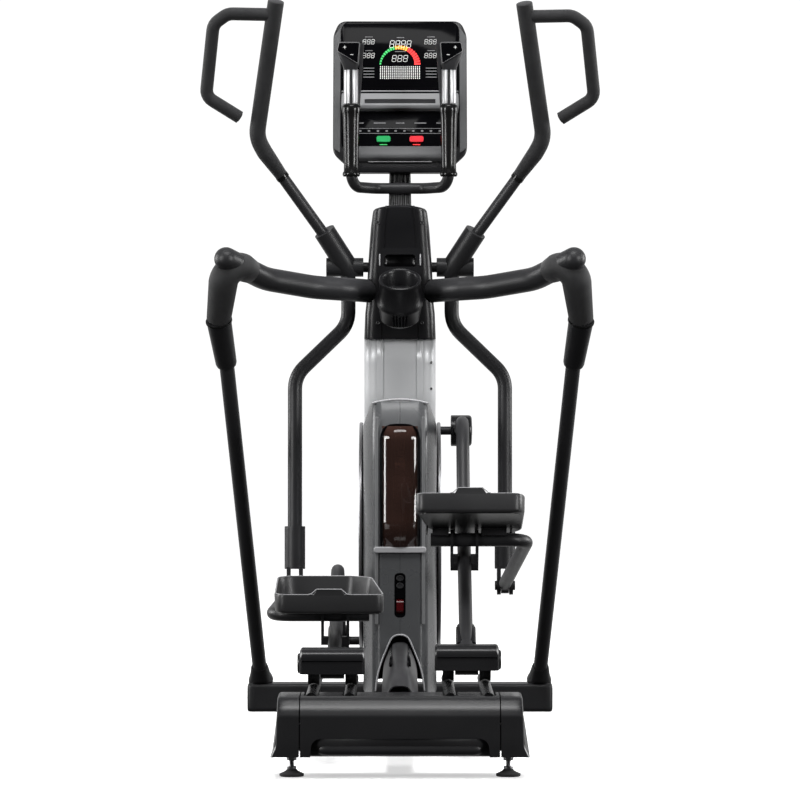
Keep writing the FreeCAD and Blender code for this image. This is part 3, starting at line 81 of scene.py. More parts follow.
def noise_node(material, scale, detail=4.0, stretch=(1, 1, 1)):
    """Object-space noise; stretch draws the grain out along an axis."""
    tree = material.node_tree
    place = tree.nodes.new("ShaderNodeTexCoord")
    mapping = tree.nodes.new("ShaderNodeMapping")
    mapping.inputs["Scale"].default_value = stretch
    noise = tree.nodes.new("ShaderNodeTexNoise")
    noise.inputs["Scale"].default_value = scale
    noise.inputs["Detail"].default_value = detail
    tree.links.new(place.outputs["Object"], mapping.inputs["Vector"])
    tree.links.new(mapping.outputs["Vector"], noise.inputs["Vector"])
    return noise


def add_bump(material, noise, strength, distance):
    """Raise the surface by the noise."""
    tree = material.node_tree
    bump = tree.nodes.new("ShaderNodeBump")
    bump.inputs["Strength"].default_value = strength
    bump.inputs["Distance"].default_value = distance
    tree.links.new(noise.outputs["Fac"], bump.inputs["Height"])
    tree.links.new(bump.outputs["Normal"], tree.nodes["Principled BSDF"].inputs["Normal"])


def add_ramp(material, noise, socket, low, high, start=0.3, end=0.7):
    """Drive a socket from noise, between two colours or two numbers."""
    tree = material.node_tree
    ramp = tree.nodes.new("ShaderNodeValToRGB")
    ramp.color_ramp.elements[0].position = start
    ramp.color_ramp.elements[1].position = end
    for element, value in zip(ramp.color_ramp.elements, (low, high)):
        element.color = (*value, 1) if isinstance(value, tuple) else (value, value, value, 1)
    tree.links.new(noise.outputs["Fac"], ramp.inputs["Fac"])
    tree.links.new(ramp.outputs["Color"], tree.nodes["Principled BSDF"].inputs[socket])


def gloss_paint(name, dark, light, roughness):
    """Powder coat: a faint orange peel under a clear coat, with slow changes of shine."""
    material = principled(name, dark, roughness, Coat_Weight=0.5, Coat_Roughness=0.03,
                          Specular_IOR_Level=0.3)
    add_ramp(material, noise_node(material, 3.0), "Base Color", dark, light)
    add_ramp(material, noise_node(material, 9.0), "Roughness", roughness - 0.02, roughness + 0.03)
    add_bump(material, noise_node(material, 420.0, 2.0), 0.02, 0.0004)
    return material


def moulded(name, dark, light, roughness, grain=1100.0, depth=0.16):
    """Moulded plastic: fine spark-eroded grain, with slight changes of colour and shine."""
    material = principled(name, dark, roughness)
    add_ramp(material, noise_node(material, 5.0), "Base Color", dark, light)
    add_ramp(material, noise_node(material, 14.0), "Roughness", roughness - 0.02, roughness + 0.03, 0.2,
             0.8)
    add_bump(material, noise_node(material, grain, 3.0), depth, 0.0005)
    return material


def foam(name, dark, light):
    """Closed-cell foam rubber: matte, with open pores and a soft sheen."""
    material = principled(name, dark, 0.7, Sheen_Weight=0.15, Sheen_Roughness=0.5)
    add_ramp(material, noise_node(material, 40.0), "Base Color", dark, light)
    add_bump(material, noise_node(material, 1500.0, 6.0), 0.35, 0.0008)
    return material


def brushed(name, colour, roughness, stretch):
    """Metal with fine marks drawn out along one axis."""
    material = principled(name, colour, roughness, Metallic=1.0)
    noise = noise_node(material, 60.0, 6.0, stretch)
    add_ramp(material, noise, "Roughness", roughness - 0.06, roughness + 0.1)
    add_bump(material, noise, 0.05, 0.0003)
    return material


def metallic_paint(name, dark, light, roughness, metallic):
    """Smooth sprayed or polished metal, with slow changes of colour."""
    material = principled(name, dark, roughness, Metallic=metallic)
    add_ramp(material, noise_node(material, 2.0), "Base Color", dark, light)
    return material


def glowing(name, colour, strength):
    """A lit mark on the display, slightly uneven as LED segments are."""
    material = principled(name, colour, 0.4, Emission_Strength=strength)
    bright = tuple(min(1.0, part * 1.1) for part in colour)
    noise = noise_node(material, 300.0)
    add_ramp(material, noise, "Base Color", colour, bright)
    add_ramp(material, noise, "Emission Color", tuple(part * 0.85 for part in colour), bright)
    return material


def make_materials():
    """Every look, by name; colours are linear, and lengths are in metres."""
    gloss_paint("black_paint", (0.003, 0.003, 0.004), (0.005, 0.005, 0.006), 0.14)
    moulded("satin_plastic", (0.017, 0.017, 0.018), (0.026, 0.026, 0.028), 0.4)
    moulded("shroud_plastic", (0.06, 0.062, 0.065), (0.085, 0.087, 0.09), 0.27, depth=0.05)
    moulded("housing_plastic", (0.006, 0.006, 0.007), (0.011, 0.011, 0.012), 0.3, depth=0.08)
    moulded("bezel_plastic", (0.055, 0.056, 0.058), (0.075, 0.076, 0.079), 0.42)
    moulded("shelf_plastic", (0.13, 0.132, 0.135), (0.17, 0.172, 0.176), 0.4)
    moulded("cover_plastic", (0.014, 0.014, 0.015), (0.019, 0.019, 0.020), 0.25, depth=0.03)
    moulded("hood_plastic", (0.010, 0.010, 0.011), (0.016, 0.016, 0.017), 0.24, depth=0.05)
    moulded("moulded_black", (0.008, 0.008, 0.009), (0.013, 0.013, 0.014), 0.38)
    # painted highlight: light grey for thin lines along rims and edges, standing for the highlights they
    # catch
    moulded("painted_highlight", (0.30, 0.30, 0.31), (0.36, 0.36, 0.37), 0.22, depth=0.03)
    moulded("gloss_rubber", (0.004, 0.004, 0.004), (0.008, 0.008, 0.008), 0.2, 700.0, 0.1)
    moulded("pedal_plastic", (0.02, 0.02, 0.021), (0.03, 0.03, 0.031), 0.36)
    moulded("roller_plastic", (0.01, 0.01, 0.01), (0.02, 0.02, 0.02), 0.35)
    # painted shade: near-black for the shadowed underside of the pedal trays
    moulded("painted_shade_black", (0.002, 0.002, 0.002), (0.004, 0.004, 0.004), 0.3)
    foam("foam_rubber", (0.008, 0.008, 0.009), (0.014, 0.014, 0.015))
    foam("pad_rubber", (0.012, 0.012, 0.013), (0.02, 0.02, 0.021))
    moulded("grip_rubber", (0.006, 0.006, 0.006), (0.012, 0.012, 0.012), 0.38, 700.0, 0.3)
    metallic_paint("silver_paint", (0.76, 0.77, 0.78), (0.82, 0.83, 0.84), 0.42, 0.25)
    metallic_paint("disc_silver", (0.30, 0.30, 0.31), (0.36, 0.36, 0.37), 0.34, 0.8)
    metallic_paint("chrome", (0.50, 0.50, 0.51), (0.56, 0.56, 0.57), 0.32, 0.6)
    brushed("bare_steel", (0.42, 0.42, 0.43), 0.3, (1, 6, 6))
    brushed("rail_steel", (0.10, 0.10, 0.105), 0.25, (6, 1, 6))
    brushed("copper_iron", (0.36, 0.17, 0.12), 0.3, (1, 5, 5))
    gloss = principled("gloss_panel", (0.002, 0.002, 0.0025), 0.09, Specular_IOR_Level=0.07)
    add_ramp(gloss, noise_node(gloss, 6.0), "Roughness", 0.08, 0.10)
    glass = principled("tinted_window", (0.035, 0.018, 0.014), 0.06, Alpha=0.72, Coat_Weight=0.9)
    add_ramp(glass, noise_node(glass, 8.0), "Base Color", (0.028, 0.014, 0.011), (0.045, 0.022, 0.017))
    glowing("lit_white", (0.70, 0.71, 0.70), 0.22)
    glowing("lit_green", (0.03, 0.45, 0.1), 0.4)
    glowing("lit_orange", (0.95, 0.35, 0.03), 0.7)
    glowing("lit_red", (0.85, 0.02, 0.02), 0.7)
    glowing("dim_grey", (0.14, 0.14, 0.145), 0.1)
    key = principled("green_key", (0.0, 0.30, 0.07), 0.35, Coat_Weight=0.1)
    add_ramp(key, noise_node(key, 30.0), "Base Color", (0.0, 0.27, 0.06), (0.005, 0.34, 0.09))
    key = principled("red_key", (0.55, 0.006, 0.018), 0.35, Coat_Weight=0.1)
    add_ramp(key, noise_node(key, 30.0), "Base Color", (0.55, 0.01, 0.02), (0.7, 0.015, 0.03))
    rocker = principled("rocker_red", (0.05, 0.002, 0.003), 0.25, Coat_Weight=0.4)
    add_ramp(rocker, noise_node(rocker, 20.0), "Base Color", (0.04, 0.001, 0.002), (0.065, 0.002, 0.004))


CAD_LOOKS = {
    "black_paint": ["base_frame", "front_crossbar", "side_frame_left", "side_frame_right", "swing_arm_left",
                    "swing_arm_right", "pedal_arm_left", "pedal_arm_right", "foot_link_left",
                    "foot_link_right", "rear_handle", "mast", "pulse_bar"],
    "satin_plastic": ["crossbar_caps", "joint_cover_left", "joint_cover_right", "roller_cover_left",
                      "roller_cover_right", "rear_foot_left", "rear_foot_right", "drive_pulley"],
    "bare_steel": ["pivot_axle", "crank_axle", "flywheel_axle", "roller_axle_left", "roller_axle_right",
                   "crank_bearings", "brake_magnet"],
    "rail_steel": ["track_rails"],
    "disc_silver": ["crank_discs"],
    "copper_iron": ["flywheel"],
    "roller_plastic": ["rollers_left", "rollers_right"],
    "grip_rubber": ["drive_belt", "pulse_grips"],
    "foam_rubber": ["swing_grip_left", "swing_grip_right"],
    "pad_rubber": ["elbow_grips"],
    "chrome": ["pulse_sensors"],
    "silver_paint": ["mast_cover"],
    "shroud_plastic": ["shroud_left", "shroud_right"],
    "housing_plastic": ["upper_housing", "cup_holder", "console_stem", "spine_cover", "console_back",
                        "pulse_heads", "switch_panel"],
    "bezel_plastic": ["console_bezel"],
    "pedal_plastic": ["pedal_left", "pedal_right"],
    "gloss_panel": ["console_screen", "key_panel"],
    "tinted_window": ["shroud_window"],
    "green_key": ["start_button"],
    "red_key": ["stop_button"],
    "rocker_red": ["power_rocker"],
}


def dress_cad():
    """Give each CAD node the material of its look, or satin plastic.

    A look whose name the frame's own materials already use has a numbered name in Blender, so its
    nodes get satin plastic too.
    """
    for look, names in CAD_LOOKS.items():
        for name in names:
            if name in NODES:
                slots = NODES[name].data.materials
                slots.clear()
                slots.append(MATERIALS[look])
    for node in NODES.values():
        if not node.data.materials or node.data.materials[0].name not in MATERIALS:
            node.data.materials.clear()
            node.data.materials.append(MATERIALS["satin_plastic"])


# ---------------------------------------------------------------- mesh tools

def piece(name, mesh, look, body, stands_for=(), bevel=0.0, smooth_angle=SHARP_ANGLE):
    """Put a mesh in the scene as a named piece that rides on a body."""
    item = bpy.data.objects.new(name, mesh)
    bpy.context.scene.collection.objects.link(item)
    mesh.materials.append(MATERIALS[look])
    if bevel:
        cut = item.modifiers.new("edge_round", "BEVEL")
        cut.width = bevel
        cut.segments = 3
        cut.limit_method = "ANGLE"
        cut.angle_limit = math.radians(28)
        cut.harden_normals = False
    soften(mesh, smooth_angle)
    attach(item, body)
    if stands_for:
        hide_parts(*stands_for)
    return item


def soften(mesh, angle):
    """Smooth shading, kept sharp where faces meet at more than the angle."""
    work = bmesh.new()
    work.from_mesh(mesh)
    limit = math.radians(angle)
    for face in work.faces:
        face.smooth = True
    for edge in work.edges:
        if len(edge.link_faces) == 2 and edge.calc_face_angle(0.0) > limit:
            edge.smooth = False
    work.to_mesh(mesh)
    work.free()


def loft_mesh(name, rings, closed=True, cap_start=True, cap_end=True):
    """A skin over rings of equally many points."""
    work = bmesh.new()
    rows = [[work.verts.new(place) for place in ring] for ring in rings]
    count = len(rows[0])
    last = count if closed else count - 1
    for low, high in zip(rows, rows[1:]):
        for index in range(last):
            after = (index + 1) % count
            corners = [low[index], low[after], high[after], high[index]]
            work.faces.new(corners)
    if cap_start:
        work.faces.new(list(reversed(rows[0])))
    if cap_end:
        work.faces.new(rows[-1])
    bmesh.ops.recalc_face_normals(work, faces=work.faces)
    mesh = bpy.data.meshes.new(name)
    work.to_mesh(mesh)
    work.free()
    return mesh


def join_meshes(name, meshes):
    """One mesh that holds all the others."""
    work = bmesh.new()
    for mesh in meshes:
        work.from_mesh(mesh)
    joined = bpy.data.meshes.new(name)
    work.to_mesh(joined)
    work.free()
    return joined


def rounded(points, radius, steps=5):
    """A closed outline whose corners are arcs of the radius, or of a radius for each corner."""
    radii = radius if isinstance(radius, (list, tuple)) else [radius] * len(points)
    result = []
    count = len(points)
    corners = [Vector(point).to_3d() for point in points]
    for index, corner in enumerate(corners):
        before = corners[index - 1] - corner
        after = corners[(index + 1) % count] - corner
        reach = min(radii[index], 0.49 * before.length, 0.49 * after.length)
        if reach <= 0:
            result.append(corner)
            continue
        start = corner + before.normalized() * reach
        end = corner + after.normalized() * reach
        for step in range(steps + 1):
            share = step / steps
            result.append(start.lerp(corner, share).lerp(corner.lerp(end, share), share))
    return result


def plate(name, outline, depth, place):
    """An outline (2-D points) given a depth; place is a 4x4 matrix whose Z is the depth."""
    flat = [Vector((spot[0], spot[1], 0)) for spot in outline]
    rings = [[place @ (spot + Z_AXIS * height) for spot in flat] for height in (0, depth)]
    return loft_mesh(name, rings)


def circle(radius, steps, across=0.0, up=0.0):
    """A round outline (2-D points) about a middle."""
    turns = [2 * math.pi * step / steps for step in range(steps)]
    return [(across + radius * math.cos(turn), up + radius * math.sin(turn)) for turn in turns]


def sheet_mesh(name, rows):
    """An open sheet over rows of equally many points."""
    return loft_mesh(name, rows, closed=False, cap_start=False, cap_end=False)


def path_points(corners, radii, step=0.006):
    """A route whose corners are arcs, as closely spaced points."""
    corners = [Vector(corner) for corner in corners]
    radii = radii if isinstance(radii, (list, tuple)) else [radii] * (len(corners) - 2)
    spots = [corners[0]]
    for index, radius in enumerate(radii, start=1):
        corner = corners[index]
        inward = (corner - corners[index - 1]).normalized()
        outward = (corners[index + 1] - corner).normalized()
        turn = inward.angle(outward)
        if turn < 1e-3:
            continue
        reach = radius * math.tan(turn / 2)
        centre = corner + (outward - inward).normalized() * (radius / math.cos(turn / 2))
        start = corner - inward * reach - centre
        axis = inward.cross(outward).normalized()
        count = max(4, int(radius * turn / step))
        for part in range(count + 1):
            spots.append(centre + Matrix.Rotation(turn * part / count, 3, axis) @ start)
    spots.append(corners[-1])
    return spots


def tube_mesh(name, spots, radius, sides=40, dome=0.0):
    """A round skin along points; radius is a number or a function of the share of the way."""
    size = radius if callable(radius) else lambda share: radius
    lengths = [0.0]
    for before, after in zip(spots, spots[1:]):
        lengths.append(lengths[-1] + (after - before).length)
    heading = (spots[1] - spots[0]).normalized()
    across = heading.orthogonal().normalized()
    rings = []

    def ring(centre, direction, sideways, wide):
        other = direction.cross(sideways)
        return [centre + (sideways * math.cos(turn) + other * math.sin(turn)) * wide
                for turn in (2 * math.pi * side / sides for side in range(sides))]

    def dome_rings(centre, direction, sideways, wide, outward):
        parts = []
        for level in range(5):
            angle = math.pi / 2 * (1 - level / 5)
            offset = direction * (outward * dome * math.sin(angle))
            parts.append(ring(centre + offset, direction, sideways, max(wide * math.cos(angle), 0.0004)))
        return parts

    if dome:
        rings += dome_rings(spots[0], heading, across, size(0.0), -1)
    for index, spot in enumerate(spots):
        before = spots[max(index - 1, 0)]
        after = spots[min(index + 1, len(spots) - 1)]
        new_heading = (after - before).normalized()
        turn = heading.rotation_difference(new_heading)
        across = (turn @ across).normalized()
        heading = new_heading
        rings.append(ring(spot, heading, across, size(lengths[index] / lengths[-1])))
    if dome:
        rings += list(reversed(dome_rings(spots[-1], heading, across, size(1.0), 1)))
    return loft_mesh(name, rings)


def turned_mesh(name, profile, place, sides=48):
    """A profile of (along, radius) pairs turned about the place's Z axis."""
    rings = [[place @ Vector((*spot,
                              along)) for spot in circle(radius, sides)] for along, radius in profile]
    return loft_mesh(name, rings)


def carve(item, cutters):
    """Cut meshes out of a piece; the cutters don't stay in the scene."""
    for mesh in cutters:
        tool = bpy.data.objects.new("cutter", mesh)
        bpy.context.scene.collection.objects.link(tool)
        cut = item.modifiers.new("cut", "BOOLEAN")
        cut.object = tool
        cut.solver = "EXACT"
        apply_modifiers(item)
        bpy.data.objects.remove(tool)
    soften(item.data, SHARP_ANGLE)


def apply_modifiers(item):
    """Turn what the modifiers show into the piece's own mesh."""
    bpy.context.view_layer.update()
    shown = item.evaluated_get(bpy.context.evaluated_depsgraph_get())
    mesh = bpy.data.meshes.new_from_object(shown)
    item.modifiers.clear()
    item.data = mesh


def thicken(item, thickness, offset=-1.0):
    """Give a skin a wall: inside it at offset -1, outside at 1, to both sides at 0."""
    wall = item.modifiers.new("wall", "SOLIDIFY")
    wall.thickness = thickness
    wall.offset = offset
    apply_modifiers(item)


def turn_about_x(degrees):
    return Matrix.Rotation(math.radians(degrees), 4, "X")


def facing_rear(y):
    """The place of an upright (x, z) outline at y, whose depth goes towards the user."""
    return Matrix.Translation((0, y, 0)) @ turn_about_x(90)


# ---------------------------------------------------------------- stage

def make_stage():
    """The floor, the studio's lights and surroundings, and the camera behind the machine."""
    half, thick = 60, 0.02
    outline = [(-half, -half), (half, -half), (half, half), (-half, half)]
    floor_mesh = plate("floor", outline, thick, Matrix.Translation((0, 0, -thick)))
    floor = bpy.data.objects.new("floor", floor_mesh)
    bpy.context.scene.collection.objects.link(floor)
    pale = principled("floor_pale", (0.9, 0.9, 0.9), 0.5, Emission_Strength=0.42, Specular_IOR_Level=0.0)
    pale.node_tree.nodes["Principled BSDF"].inputs["Emission Color"].default_value = (1, 1, 1, 1)
    floor_mesh.materials.append(pale)
    floor.visible_glossy = False
    floor.visible_diffuse = False
    make_world()
    sun = bpy.data.lights.new("overhead", "SUN")
    sun.energy = 1.85
    sun.angle = math.radians(50)
    sun_item = bpy.data.objects.new("overhead", sun)
    sun_item.rotation_euler = (math.radians(-12), math.radians(6), 0)
    sun_item.visible_glossy = False
    bpy.context.scene.collection.objects.link(sun_item)
    area_light("top", (0, -0.5, 4.2), (0, -0.2, 0), 2.6, 130)
    area_light("overhead_front", (0, -2.2, 4.8), (0, -0.5, 0.4), 1.5, 90)
    for name in ("top", "overhead_front"):
        bpy.data.objects[name].visible_glossy = False
    area_light("gleam", (0, -2.0, 4.4), (0, -0.9, 0.2), 2.6, 55, tall=1.0)
    for side in SIDES.values():
        area_light("strip_%d" % (side + 1), (side * 4.4, -3.2, 0.95), (0, 0.1, 0.95), 0.45, 50, tall=2.6)
    area_light("key_left", (-4.2, -3.6, 2.4), (0, 0, 0.9), 1.5, 90)
    area_light("key_right", (4.2, -3.6, 2.2), (0, 0, 0.8), 1.3, 70)
    area_light("side_left", (-4.0, 1.2, 1.6), (0, 0, 0.9), 1.8, 80)
    area_light("side_right", (4.0, 1.2, 1.6), (0, 0, 0.9), 1.8, 80)
    make_camera()


def make_world():
    """White behind the machine as the camera sees it; for reflections, dark with a bright far wall."""
    world = bpy.data.worlds.new("studio")
    bpy.context.scene.world = world
    world.use_nodes = True
    tree = world.node_tree
    place = tree.nodes.new("ShaderNodeTexCoord")
    parts = tree.nodes.new("ShaderNodeSeparateXYZ")
    wall = tree.nodes.new("ShaderNodeMapRange")
    wall.interpolation_type = "SMOOTHSTEP"
    for socket, value in (("From Min", 0.3), ("From Max", 0.85), ("To Min", 0.03), ("To Max", 0.6)):
        wall.inputs[socket].default_value = value
    seen = tree.nodes.new("ShaderNodeLightPath")
    choose = tree.nodes.new("ShaderNodeMix")
    choose.inputs["B"].default_value = 1.06
    tree.links.new(place.outputs["Generated"], parts.inputs["Vector"])
    tree.links.new(parts.outputs["Y"], wall.inputs["Value"])
    tree.links.new(seen.outputs["Is Camera Ray"], choose.inputs["Factor"])
    tree.links.new(wall.outputs["Result"], choose.inputs["A"])
    tree.links.new(choose.outputs["Result"], tree.nodes["Background"].inputs["Strength"])
    tree.nodes["Background"].inputs["Color"].default_value = (1, 1, 1, 1)


def make_camera():
    scene = bpy.context.scene
    scene.view_settings.view_transform = "Standard"
    lens = bpy.data.cameras.new("camera")
    lens.sensor_width = 36.0
    lens.lens = 186.3
    lens.clip_end = 200.0
    camera = bpy.data.objects.new("camera", lens)
    camera.location = (0, -9.39, 0.773)
    camera.rotation_euler = (math.radians(90), 0, 0)
    scene.collection.objects.link(camera)
    scene.camera = camera


def area_light(name, place, aim, size, power, tall=0.0):
    """A lamp that faces its aim; it is square unless it is given another height."""
    lamp = bpy.data.lights.new(name, "AREA")
    lamp.shape = "RECTANGLE"
    lamp.size = size
    lamp.size_y = tall or size
    lamp.energy = power
    item = bpy.data.objects.new(name, lamp)
    item.location = place
    item.rotation_euler = (Vector(aim) - Vector(place)).to_track_quat("-Z", "Y").to_euler()
    bpy.context.scene.collection.objects.link(item)


# ---------------------------------------------------------------- places worked out from the frame

JOINTS = {joint["name"]: joint for joint in frame["joints"]}
CRANK_RADIUS = 0.25
ARM_LONG = 1.1
LINK_LONG = 0.66
SWING_END_Z = 0.333


def joint_place(name):
    return Vector(JOINTS[name]["pos_m"])


def slope_matrix(place, angle):
    return Matrix.Translation(place) @ Matrix.Rotation(angle, 4, "X")


def arm_frame(name):
    """Origin on the crank pin, Y along the pedal arm towards the crank."""
    pin = joint_place("crank_spin") + Z_AXIS * CRANK_RADIUS * SIDES[name]
    roller = joint_place("arm_pitch_" + name)
    return slope_matrix(pin, math.asin((pin.z - roller.z) / ARM_LONG))


def link_frame(name):
    """Origin on the foot pivot, Y along the foot link towards the swing arm."""
    pivot = joint_place("foot_pivot_" + name)
    pivot.x = 0
    return slope_matrix(pivot, math.asin((SWING_END_Z - pivot.z) / LINK_LONG))


def swing_frame(name):
    """Origin on the swing arm's pivot, Z up along the arm."""
    end = link_frame(name) @ Vector((0, LINK_LONG, 0))
    pivot = joint_place("swing_" + name)
    return slope_matrix(pivot, math.atan2(end.y - pivot.y, pivot.z - end.z))


def upper_place(side, across, height):
    """A place on the upper arm, which leans towards the user as it rises."""
    rise = height - joint_place("swing_right").z
    return Vector((side * across, -0.4 * rise, rise))


def mast_y(height):
    """The leaning mast's centre line."""
    return 0.64 - 0.2 * (height - 0.09) / 0.998


def span(node, axis):
    """The lowest and highest place of a CAD node along one axis."""
    low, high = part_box(node)
    return low[axis], high[axis]


# ---------------------------------------------------------------- rear cover and spine

def shell(name, rings, look, body, wall, stands_for=(), cap_end=False):
    """An open skin over rings, given a wall inside it."""
    mesh = loft_mesh(name, rings, closed=False, cap_start=False, cap_end=cap_end)
    item = piece(name, mesh, look, body, stands_for)
    thicken(item, wall)
    soften(item.data, SHARP_ANGLE)
    return item


def cover_profile():
    """The rear cover's side view as (y, z), from its front edge over the top to its lower rear edge."""
    low, high = span("rear_cover", 2)
    rear, front = span("rear_cover", 1)
    corners = [(front, low), (front, high), (rear + 0.034, high - 0.001), (rear + 0.012, high - 0.024),
               (rear + 0.003, high - 0.039), (rear, low + 0.03), (rear + 0.001, low)]
    return rounded(corners, [0, 0.012, 0.012, 0.012, 0.003, 0.02, 0], 8)


def make_rear_cover():
    """The hood over the rear cross tube: a middle shell, and an end shell each side."""
    half = span("rear_cover", 0)[1]
    seam = 0.0012
    profile = cover_profile()
    rings = [[(across, y, z) for y, z, _ in profile] for across in (-half + seam, half - seam)]
    cover = shell("rear_cover_hood", rings, "cover_plastic", "frame", 0.003, ["rear_cover"])
    recess_half, recess_high, rear = 0.181, 0.083, span("rear_cover", 1)[0]
    outline = rounded([(-recess_half - 0.004, 0.0), (recess_half + 0.004, 0.0), (recess_half, recess_high),
                       (-recess_half, recess_high)], [0, 0, 0.022, 0.022])
    upright = facing_rear(rear + 0.02)
    cutters = [plate("recess", outline, 0.06, upright)]
    rail_low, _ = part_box("track_rails")
    for centre in rail_centres():
        slot = rounded([(centre - 0.0155, rail_low.y - 0.008), (centre + 0.0155, rail_low.y - 0.008),
                        (centre + 0.0155, -0.7), (centre - 0.0155, -0.7)], [0.0154, 0.0154, 0, 0])
        cutters.append(plate("slot", slot, 0.06, Matrix.Translation((0, 0, rail_low.z - 0.004))))
    carve(cover, cutters)
    make_recess_pan(recess_half, recess_high, rear)
    for name, side in SIDES.items():
        make_cover_end(name, side, half + seam)


def rail_centres():
    return [side * TRACK_X + sign * RAIL_OFFSET for side in SIDES.values() for sign in (-1, 1)]


def make_recess_pan(half, high, rear):
    """The curved wall behind the lifting handle."""
    rows = []
    for across in (-half - 0.004, half + 0.004):
        rows.append([(across, rear + 0.006 + 0.03 * math.sin(turn),
                      0.046 + (high - 0.042) * (1 - math.cos(turn)))
                     for turn in (math.pi / 2 * step / 8 for step in range(9))])
    rows = [[(x, rear + 0.042 - (y - rear), z) for x, y, z in row] for row in rows]
    mesh = sheet_mesh("recess", rows)
    pan = piece("rear_cover_recess", mesh, "satin_plastic", "frame")
    thicken(pan, 0.002, 1.0)


def make_cover_end(name, side, start):
    """An end shell whose outer wall slants outward to the floor and is rounded into the top."""
    low, high = span("rear_cover_ends", 2)
    reach = span("rear_cover_ends", 0)[1]

    def outer(z):
        share = (z - low) / (high - low)
        return reach - 0.010 * min(1.0, share / 0.2) ** 0.6 - 0.004 * share

    rings = []
    middle = Vector((-0.88, 0.09))
    for share, inset in ((0.0, 0), (0.5, 0), (0.86, 0), (0.95, 0.0015), (0.99, 0.005), (1.0, 0.010)):
        ring = []
        for y, z, _ in cover_profile():
            across = start + (outer(z) - start) * share
            flat = Vector((y, z))
            inward = (middle - flat).normalized() * inset
            keep_low = 0 if z < low + 0.002 else inward.y
            ring.append((side * across, y + inward.x, z + keep_low))
        rings.append(ring if side > 0 else list(reversed(ring)))
    shell("rear_cover_end_" + name, rings, "cover_plastic", "frame", 0.0025, ["rear_cover_ends"],
          cap_end=True)


def make_spine_cover():
    """The long cover over the beam between the two tracks: narrow on top, flared below."""
    low, high = span("spine_cover", 2)
    rear, front = span("spine_cover", 1)
    half = span("spine_cover", 0)[1]
    profile = rounded([(-half, low), (-half, high - 0.052), (-0.017, high), (0.017, high),
                       (half, high - 0.052),
                       (half, low)], [0, 0.02, 0.014, 0.014, 0.02, 0])
    rings = []
    for y, drop in ((rear, 0.04), (rear + 0.02, 0.026), (rear + 0.12, 0.008), (-0.3, 0), (front, 0)):
        rings.append([(x, y, z - drop * (z - low) / (high - low)) for x, z, _ in profile])
    shell("spine_hood", rings, "satin_plastic", "frame", 0.003, ["spine_cover"])
    for side in SIDES.values():
        strip = [[(side * (0.018 + lift * 0.5), y, high - 0.004 - lift) for lift in (0, 0.004, 0.008)]
                 for y in (-0.62, front - 0.01)]
        mesh = sheet_mesh("strip", strip)
        thicken(piece("spine_trim_%d" % (side + 1), mesh, "gloss_panel", "frame"), 0.003, 0.0)


# ---------------------------------------------------------------- shroud and its window

SHROUD_FRONT = [(0.096, 0.69), (0.23, 0.745), (0.44, 0.76), (0.58, 0.73), (0.69, 0.6), (0.715, 0.48),
                (0.77, 0.415)]


def along_table(table, value):
    """Read a table of (height, place) pairs, in straight runs between them."""
    for (low, start), (high, end) in zip(table, table[1:]):
        if value <= high:
            share = (value - low) / (high - low)
            return start + (end - start) * share
    return table[-1][1]


def shroud_ring(side, z, inset=0.0, lift=0.0):
    """One half's outline at a height, from the rear centre round the flank to the front centre."""
    rear = 0.060 + max(0.0, z - 0.70) * 0.5 + inset
    front = along_table(SHROUD_FRONT, z) - inset
    half = 0.085 - inset - 0.020 * max(0.0, (z - 0.716) / 0.054)
    rear_half = 0.063 - inset
    points = [(0.0003, rear), (0.046, rear), (rear_half, rear + 0.012), (half, rear + 0.11),
              (half, front - 0.09),
              (half - 0.045, front - 0.012), (0.0003, front)]
    path = rounded(points, [0, 0.006, 0.012, 0.05, 0.06, 0.05, 0], 6)
    ring = [(side * x, y, z + lift * (1 - (x / 0.085) ** 2)) for x, y, _ in path]
    return ring if side > 0 else list(reversed(ring))


def make_shroud():
    """Two moulded halves round the crank's inner side and the flywheel."""
    low, high = span("shroud_right", 2)
    levels = [(low, 0.003), (low + 0.006, 0.0), (0.23, 0), (0.33, 0), (0.44, 0), (0.52, 0), (0.58, 0),
              (0.64, 0), (0.69, 0), (0.715, 0), (0.74, 0), (high - 0.016, 0),
              (high - 0.008, 0.0015), (high - 0.003, 0.005), (high - 0.001, 0.010)]
    crank = joint_place("crank_spin")
    across = Matrix.Translation((-0.1, 0, 0)) @ FACE_X
    round_hole = circle(0.021, 40, crank.y, crank.z)
    upright = facing_rear(0.11)
    slot = rounded([(-0.0128, 0.276), (0.0128, 0.276), (0.0128, 0.378), (-0.0128, 0.378)], 0.011)
    for name, side in SIDES.items():
        rings = [shroud_ring(side, z, inset, 0.012 * max(0.0, (z - 0.6) / 0.17)) for z, inset in levels]
        rings = [[(x, y, min(z, high)) for x, y, z in ring] for ring in rings]
        half = shell("shroud_half_" + name, rings, "shroud_plastic", "frame", 0.003, ["shroud_" + name],
                     cap_end=True)
        cutters = [plate("hole", round_hole, 0.2, across)]
        for outline in (window_outline(), arch_outline(0.0), slot):
            cutters.append(plate("opening", outline, 0.07, upright))
        carve(half, cutters)
    make_window()
    make_front_panel_trim()


def window_outline():
    return rounded([(-0.041, 0.437), (0.041, 0.437), (0.041, 0.714), (-0.041, 0.714)],
                   [0.01, 0.01, 0.03, 0.03])


def arch_outline(grow):
    """The opening that the spine cover comes out of; it narrows to a rounded top."""
    return rounded([(-0.058 - grow, 0.05), (0.058 + grow, 0.05), (0.052 + grow, 0.15),
                    (0.016 + grow, 0.236 + grow),
                    (-0.016 - grow, 0.236 + grow), (-0.052 - grow, 0.15)], [0, 0, 0.04, 0.016, 0.016, 0.04])


